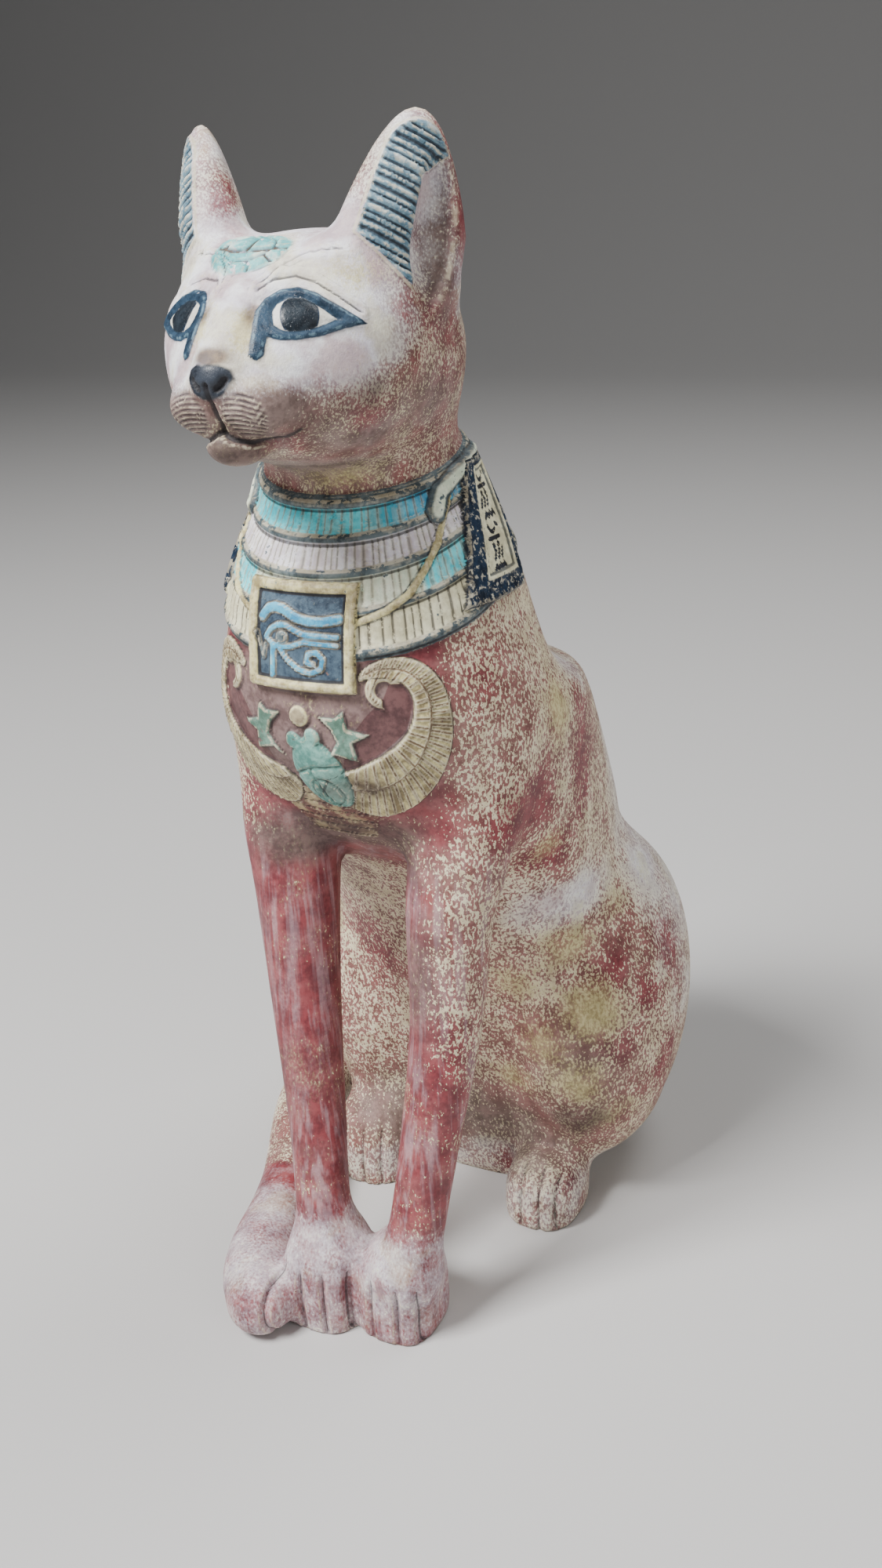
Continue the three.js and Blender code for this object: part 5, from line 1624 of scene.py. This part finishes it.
        self.lay(Coat.ROSE, blush, 0.0)
        yellow = self.both(g.rise(haze, 0.50, 0.36), g.rise(pale, 0.3, 0.9), 0.46)
        self.lay(Coat.OLIVE, yellow, 0.0)
        stain = self.both(g.rise(brown, 0.1, 0.9), g.rise(drift, 0.3, 0.5), 0.85)
        self.lay(Coat.BROWN, stain, 0.0)

    def collar(self) -> None:
        """Ridges, ticked bands, cord and clasps."""
        g = self.g
        level, round_neck, shown = (g.map("collar", k) for k in range(3))
        on = g.rise(shown, 0.35, 0.65)
        left = g.rise(round_neck, 31.0, 33.0)
        right = g.rise(round_neck, -18.0, -20.0)
        self.lay(Coat.ROLL, on, 0.0)
        for low, high, coats, ticked in (
                (287.0, 292.9, (Coat.TEAL, Coat.SKY), 0.35),
                (279.2, 285.1, (Coat.LILAC, Coat.LILAC), 0.38),
                (269.9, 277.2, (Coat.CHALK_GREEN, Coat.TEAL), 0.35),
                (259.0, 268.2, (Coat.STRAW, Coat.STRAW), 0.7)):
            band = self.both(on, g.rise(level, low - 0.2, low + 0.2), g.rise(level, high + 0.2, high - 0.2))
            self.lay(coats[0], band)
            if coats[0] is Coat.TEAL:
                self.lay(coats[1], self.both(band, g.rise(round_neck, 12.0, 40.0)))
            elif coats[1] is Coat.TEAL:
                self.lay(coats[1], self.both(band, g.math("MAXIMUM", left, right)))
            count, pitch = g.map("bead", 0), g.map("bead", 1)
            tick = g.line(count, pitch)
            whole = g.math("FLOOR", g.math("ADD", count, 0.5))
            cell = g.math("FRACT", g.math("MULTIPLY", g.math("SINE", g.math("MULTIPLY", whole, 12.9898)), 43.75))
            self.lay(Coat.CHALK, self.both(band, g.rise(cell, 0.62, 0.7), 0.22), 0.3)
            self.lay(Coat.CHALK, self.both(band, g.rise(tick, 0.6, 0.35), 0.5), 0.3)
            self.lay(Coat.INK, self.both(band, g.rise(tick, 0.34, 0.16), ticked), 0.4, -0.15)
        for ring, half in ((294.1, 1.5), (286.0, 1.2), (278.2, 1.3), (269.0, 1.1), (257.9, 1.4)):
            # Painted highlight: a chalk line on each ring's upper flank; painted shade: an ink line under its foot.
            top = g.math("ABSOLUTE", g.math("SUBTRACT", level, ring + 0.55 * half))
            self.lay(Coat.CHALK, self.both(on, g.rise(top, 0.75, 0.35), 0.75), 0.45)
            foot = g.math("ABSOLUTE", g.math("SUBTRACT", level, ring - half - 0.15))
            self.lay(Coat.INK, self.both(on, g.rise(foot, 0.5, 0.2), 0.8), 0.15)

    def pendant(self) -> None:
        """Plaque with its sign, and the cord and clasps over the collar."""
        g = self.g
        cord, clasp = g.map("string", 0), g.map("string", 1)
        self.lay(Coat.INK, self.both(self.within(g.math("SUBTRACT", cord, 0.5)), 0.6), 0.4)
        self.lay(Coat.GOLD, self.within(cord), 0.05)
        self.lay(Coat.INK, self.both(self.within(g.math("SUBTRACT", clasp, 0.5)), 0.8), 0.3)
        self.lay(Coat.ROLL, self.within(clasp), 0.1)
        # Painted highlight: pale stripe down the middle of each rolled clasp.
        self.lay(Coat.CHALK_GREEN, g.rise(g.map("string", 2), 2.3, 1.3), 0.3)
        box, sign, dull = (g.map("pendant", k) for k in range(3))
        self.lay(Coat.GOLD, self.within(box), 0.12)
        rim = g.rise(g.math("ABSOLUTE", g.math("ADD", box, 1.5)), 0.55, 0.15)
        self.lay(Coat.CHALK, self.both(rim, 0.5), 0.45)
        panel = self.within(box, 3.3)
        self.lay(Coat.SLATE, panel, 0.1)
        seam = g.rise(g.math("ABSOLUTE", g.math("ADD", box, 3.7)), 0.6, 0.2)
        self.lay(Coat.INK, self.both(seam, 0.8), 0.1)
        self.lay(Coat.CHALK, self.both(panel, self.within(g.math("SUBTRACT", sign, 0.35)), 0.8), 0.25)
        self.lay(Coat.SKY, self.both(panel, self.within(sign, 0.1)), 0.0)
        self.lay(Coat.ROLL, self.both(panel, self.within(dull, 0.1)), 0.0)

    def breast(self) -> None:
        """Wings, inner fields, fan of scales, leaves, disc and beetle."""
        g = self.g
        wing, inner, fan = (g.map("wing", k) for k in range(3))
        leaf, beetle, disc = (g.map("breast", k) for k in range(3))
        clear = g.rise(g.math("MINIMUM", g.math("MINIMUM", leaf, beetle), disc), 0.1, 0.4)
        scales = self.both(clear, g.rise(fan, 0.3, -0.3))
        self.lay(Coat.BROWN, self.both(scales, 0.45), 0.25)
        self.lay(Coat.GOLD, self.both(scales, g.rise(self.tint, 0.45, 0.6), 0.45), 0.3)
        self.lay(Coat.PLUM, self.both(clear, self.within(inner), 0.9))
        self.lay(Coat.GOLD, self.both(clear, self.within(wing), 0.9))
        count, layer, pitch = (g.map("feather", k) for k in range(3))
        on = self.both(clear, self.within(wing, 0.3))
        quill = g.math("MINIMUM", g.line(count, pitch), g.math("ABSOLUTE", layer))
        self.lay(Coat.BROWN, self.both(on, g.rise(self.tint, 0.50, 0.38), 0.36), 0.0)
        self.lay(Coat.CHALK, self.both(on, g.rise(quill, 0.9, 0.5), 0.66), 0.2)
        self.lay(Coat.BROWN, self.both(on, g.rise(quill, 0.40, 0.18), 0.9), 0.1, -0.1)
        rim = g.rise(g.math("ABSOLUTE", g.math("ADD", wing, 0.45)), 0.5, 0.2)
        self.lay(Coat.CHALK, self.both(clear, rim, 0.6), 0.3)
        self.lay(Coat.INK, self.both(g.rise(g.math("MINIMUM", leaf, beetle), 0.75, 0.25), 0.45), 0.4)
        self.lay(Coat.LEAF, self.within(leaf))
        rim = g.rise(g.math("ABSOLUTE", g.math("ADD", leaf, 0.5)), 0.5, 0.2)
        self.lay(Coat.CHALK, self.both(rim, 0.55), 0.4)
        self.lay(Coat.GOLD, self.within(disc), 0.1)
        self.lay(Coat.MAUVE, self.both(self.within(disc, 0.6), 0.65), 0.2)
        self.lay(Coat.BEETLE, self.within(beetle))

    def painted_shade(self) -> None:
        """Painted shade: dark paint under the chin, the chest and the haunch, where shade falls."""
        uneven = self.g.math("MULTIPLY_ADD", self.g.noise(9.0, 4.0, shift=0.6), 0.8, -0.4)
        deep = self.g.rise(self.g.math("ADD", self.g.map("painted_shade", 0), uneven), 0.15, 0.85)
        self.lay(Coat.PAINTED_SHADE, self.both(deep, 0.74), 0.0)

    def plates(self) -> None:
        """Navy side plates with a pale panel of small marks."""
        g = self.g
        box, panel, mark = (g.map("plate", k) for k in range(3))
        self.lay(Coat.NAVY, self.within(box), 0.08)
        self.lay(Coat.CHALK, self.both(self.within(box), g.rise(self.speck, 0.56, 0.62), 0.65), 0.0)
        self.lay(Coat.STRAW, self.both(self.within(panel, -1.1), g.rise(panel, -1.2, -0.6)), 0.2)
        self.lay(Coat.NAVY, self.both(self.within(panel, -0.1), 0.8), 0.0)
        self.lay(Coat.STRAW, self.within(panel, 0.7), 0.14)
        self.lay(Coat.NAVY, self.both(self.within(panel, 0.6), g.rise(mark, 0.28, 0.05)), 0.0, -0.1)

    def face(self) -> None:
        """Lined eyes, nose, mouth, whisker lines and the forehead scarab."""
        g = self.g
        liner, white, iris = (g.map("eye", k) for k in range(3))
        self.lay(Coat.LINER, self.within(liner))
        shine = g.rise(g.math("ABSOLUTE", g.math("ADD", liner, 0.7)), 0.5, 0.1)
        self.lay(Coat.PANEL, self.both(shine, g.rise(self.chip, 0.46, 0.56), 0.5), 0.0)
        self.lay(Coat.WHITE, self.within(white))
        ring = g.rise(g.math("ABSOLUTE", iris), 0.55, 0.25)
        self.lay(Coat.NAVY, self.both(ring, self.within(white)), 0.0)
        self.lay(Coat.IRIS, self.both(self.within(iris), self.within(white, -0.5)))
        nose, deep = g.map("nose", 0), g.map("nose", 1)
        self.lay(Coat.NOSE, g.rise(g.math("MULTIPLY_ADD", self.wobble, 1.4, nose), 0.7, -0.5))
        hair, pad = g.line(g.map("hair", 0), 1.35), g.map("hair", 1)
        on = self.within(pad, 0.7, 0.6)
        self.lay(Coat.MAUVE, self.both(on, 0.7), 0.0)
        self.lay(Coat.CHALK, self.both(on, g.rise(hair, 0.42, 0.6), 0.32), 0.1)
        self.lay(Coat.INK, self.both(on, g.rise(hair, 0.24, 0.08), 0.5), 0.0, -0.12)
        self.lay(Coat.INK, self.both(g.rise(deep, 0.4, 0.0), 0.80), 0.0)
        disc, cut = g.map("crown", 0), g.map("crown", 1)
        on = self.within(disc, 0.0, 0.5)
        self.lay(Coat.CROWN, on)
        self.lay(Coat.WHITE, self.both(on, g.rise(self.tint, 0.52, 0.6), 0.5), 0.1)
        self.lay(Coat.SLATE, self.both(on, g.rise(cut, 1.3, 0.4), g.rise(self.tint, 0.40, 0.52), 0.9), 0.0)
        self.lay(Coat.BROWN, self.both(on, g.rise(cut, 0.8, 0.2), g.rise(self.chip, 0.38, 0.5), 0.9), 0.0)

    def ears(self) -> None:
        """Pale blue ear panels with dark grooves and painted highlights on the slats between them."""
        g = self.g
        box, count = g.map("panel", 0), g.map("panel", 1)
        self.lay(Coat.CHALK, self.both(self.within(box, -0.9), g.rise(box, 0.2, 0.5), 0.75), 0.2)
        on = self.within(box)
        self.lay(Coat.PANEL, on, 0.1)
        groove = g.line(count, 2.05)
        # Painted highlight: white on the middle of each raised slat.
        self.lay(Coat.WHITE, self.both(on, g.rise(groove, 0.62, 0.86), g.rise(self.chip, 0.42, 0.56), 0.55), 0.0)
        self.lay(Coat.SLATE, self.both(on, g.rise(groove, 0.44, 0.24), 0.85), 0.0, -0.1)
        self.lay(Coat.INK, self.both(on, g.rise(groove, 0.2, 0.06), 0.6), 0.0)

    def wear(self) -> None:
        """Dark lines, darker paint in hollows and rubbed edges."""
        g = self.g
        line, dip = g.map("ink", 0), g.map("tone", 2)
        drawn = self.both(g.rise(line, 0.28, 0.02), g.rise(self.chip, 0.3, 0.42), 0.72)
        self.lay(Coat.INK, drawn, 0.0, -0.08)
        off = self.both(g.math("MULTIPLY_ADD", g.map("collar", 2), -0.6, 1.0), g.rise(g.map("eye", 1), 0.5, 1.5))
        self.lay(Coat.INK, self.both(g.rise(dip, 0.03, 0.24), off, 0.42), 0.0)
        rub = self.both(g.rise(dip, -0.05, -0.26), g.rise(self.chip, 0.42, 0.56), g.rise(g.map("nose", 0), 0.5, 1.5),
                        g.rise(g.map("eye", 0), 0.2, 1.0), 0.45)
        self.lay(Coat.CREAM, rub, 0.0)

    def finish(self) -> bpy.types.Material:
        """Joins the layers to the shader.

        Returns:
            The material.
        """
        g = self.g
        for layer in (self.ground, self.collar, self.pendant, self.breast, self.painted_shade, self.plates, self.ears,
                      self.face, self.wear):
            layer()
        shader = self.material.node_tree.nodes["Principled BSDF"]
        g.put(shader.inputs["Base Color"], self.color)
        rubbed = g.math("MULTIPLY_ADD", self.speck, 0.16, -0.08)
        g.put(shader.inputs["Roughness"], g.math("ADD", self.rough, rubbed))
        shader.inputs["Specular IOR Level"].default_value = 0.35
        relief = g.bump(self.height, self.speck, g.noise(0.5, 2.0, shift=0.7))
        g.put(shader.inputs["Normal"], relief)
        return self.material


# Setting

@dataclass
class Studio:
    """Pale floor, soft lights and the camera at the photograph's angle."""

    reach: float = 5.0
    sweep: float = 2.5
    floor_color: Color = (0.56, 0.55, 0.54)
    lamps: Sequence[tuple[str, Color, float, float]] = (          # name, place, size, watts
        ("key", (-0.5, -1.05, 1.65), 0.6, 68.0),
        ("fill", (1.4, -0.7, 1.0), 1.0, 6.5),
        ("top", (0.5, 0.5, 1.8), 0.8, 15.0),
    )
    aim: Color = (0.0, -0.05, 0.2)
    sky: Color = (0.93, 0.94, 0.96)
    sky_strength: float = 0.10
    lens: float = 33.66
    sensor: float = 36.0
    camera_place: Color = (0.2235, -0.4903, 0.380)
    camera_axes: Sequence[Color] = ((0.899, 0.435, -0.052), (-0.121, 0.36, 0.925), (0.421, -0.825, 0.376))

    def floor(self) -> None:
        """Makes the floor, which sweeps up into a wall far behind the figure."""
        bm = bmesh.new()
        bmesh.ops.create_grid(bm, x_segments=1, y_segments=1, size=self.reach)
        rear = [e for e in bm.edges if all(v.co.y > 0.8 * self.reach for v in e.verts)]
        wall = bmesh.ops.extrude_edge_only(bm, edges=rear)["geom"]
        top = [v for v in wall if isinstance(v, bmesh.types.BMVert)]
        bmesh.ops.translate(bm, vec=(0.0, 0.0, self.reach), verts=top)
        bmesh.ops.bevel(bm, geom=rear, offset=self.sweep, offset_type="OFFSET", segments=16, profile=0.5,
                        affect="EDGES", material=-1)
        for face in bm.faces:
            face.smooth = True
        mesh = bpy.data.meshes.new("floor")
        bm.to_mesh(mesh)
        bm.free()
        floor = bpy.data.objects.new("floor", mesh)
        bpy.context.scene.collection.objects.link(floor)
        paint = bpy.data.materials.new("pale_floor")
        paint.use_nodes = True
        shader = paint.node_tree.nodes["Principled BSDF"]
        shader.inputs["Base Color"].default_value = (*self.floor_color, 1.0)
        shader.inputs["Roughness"].default_value = 0.7
        mesh.materials.append(paint)

    def light(self) -> None:
        """Makes the soft lamps and the pale surroundings."""
        for name, place, size, power in self.lamps:
            data = bpy.data.lights.new(name, "AREA")
            data.size, data.energy = size, power
            lamp = bpy.data.objects.new(name, data)
            lamp.location = place
            lamp.rotation_euler = (Vector(self.aim) - Vector(place)).to_track_quat("-Z", "Y").to_euler()
            bpy.context.scene.collection.objects.link(lamp)
        world = bpy.data.worlds.new("studio")
        world.use_nodes = True
        sky = world.node_tree.nodes["Background"]
        sky.inputs["Color"].default_value = (*self.sky, 1.0)
        sky.inputs["Strength"].default_value = self.sky_strength
        bpy.context.scene.world = world

    def camera(self) -> None:
        """Sets the camera where the photograph was taken from."""
        data = bpy.data.cameras.new("camera")
        data.sensor_width, data.lens = self.sensor, self.lens
        camera = bpy.data.objects.new("camera", data)
        turn = Matrix([Vector(axis) for axis in self.camera_axes]).transposed().to_4x4()
        camera.matrix_world = Matrix.Translation(self.camera_place) @ turn
        bpy.context.scene.collection.objects.link(camera)
        bpy.context.scene.camera = camera

    def build(self) -> None:
        """Makes the floor, the lights and the camera."""
        self.floor()
        self.light()
        self.camera()


def main() -> None:
    """Builds the carved figure, its finish and its setting."""
    logging.basicConfig(level=logging.INFO, format="%(name)s: %(message)s")
    body = Body()
    piece = CarvedMesh(body, Relief(body.ears)).build()
    piece.data.materials.clear()
    piece.data.materials.append(WornPaint().finish())
    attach(piece, "root")
    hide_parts(NODE)
    log.info("cat_carved: %d vertices, %d faces", len(piece.data.vertices), len(piece.data.polygons))
    Studio().build()


if __name__ == "__main__":
    main()
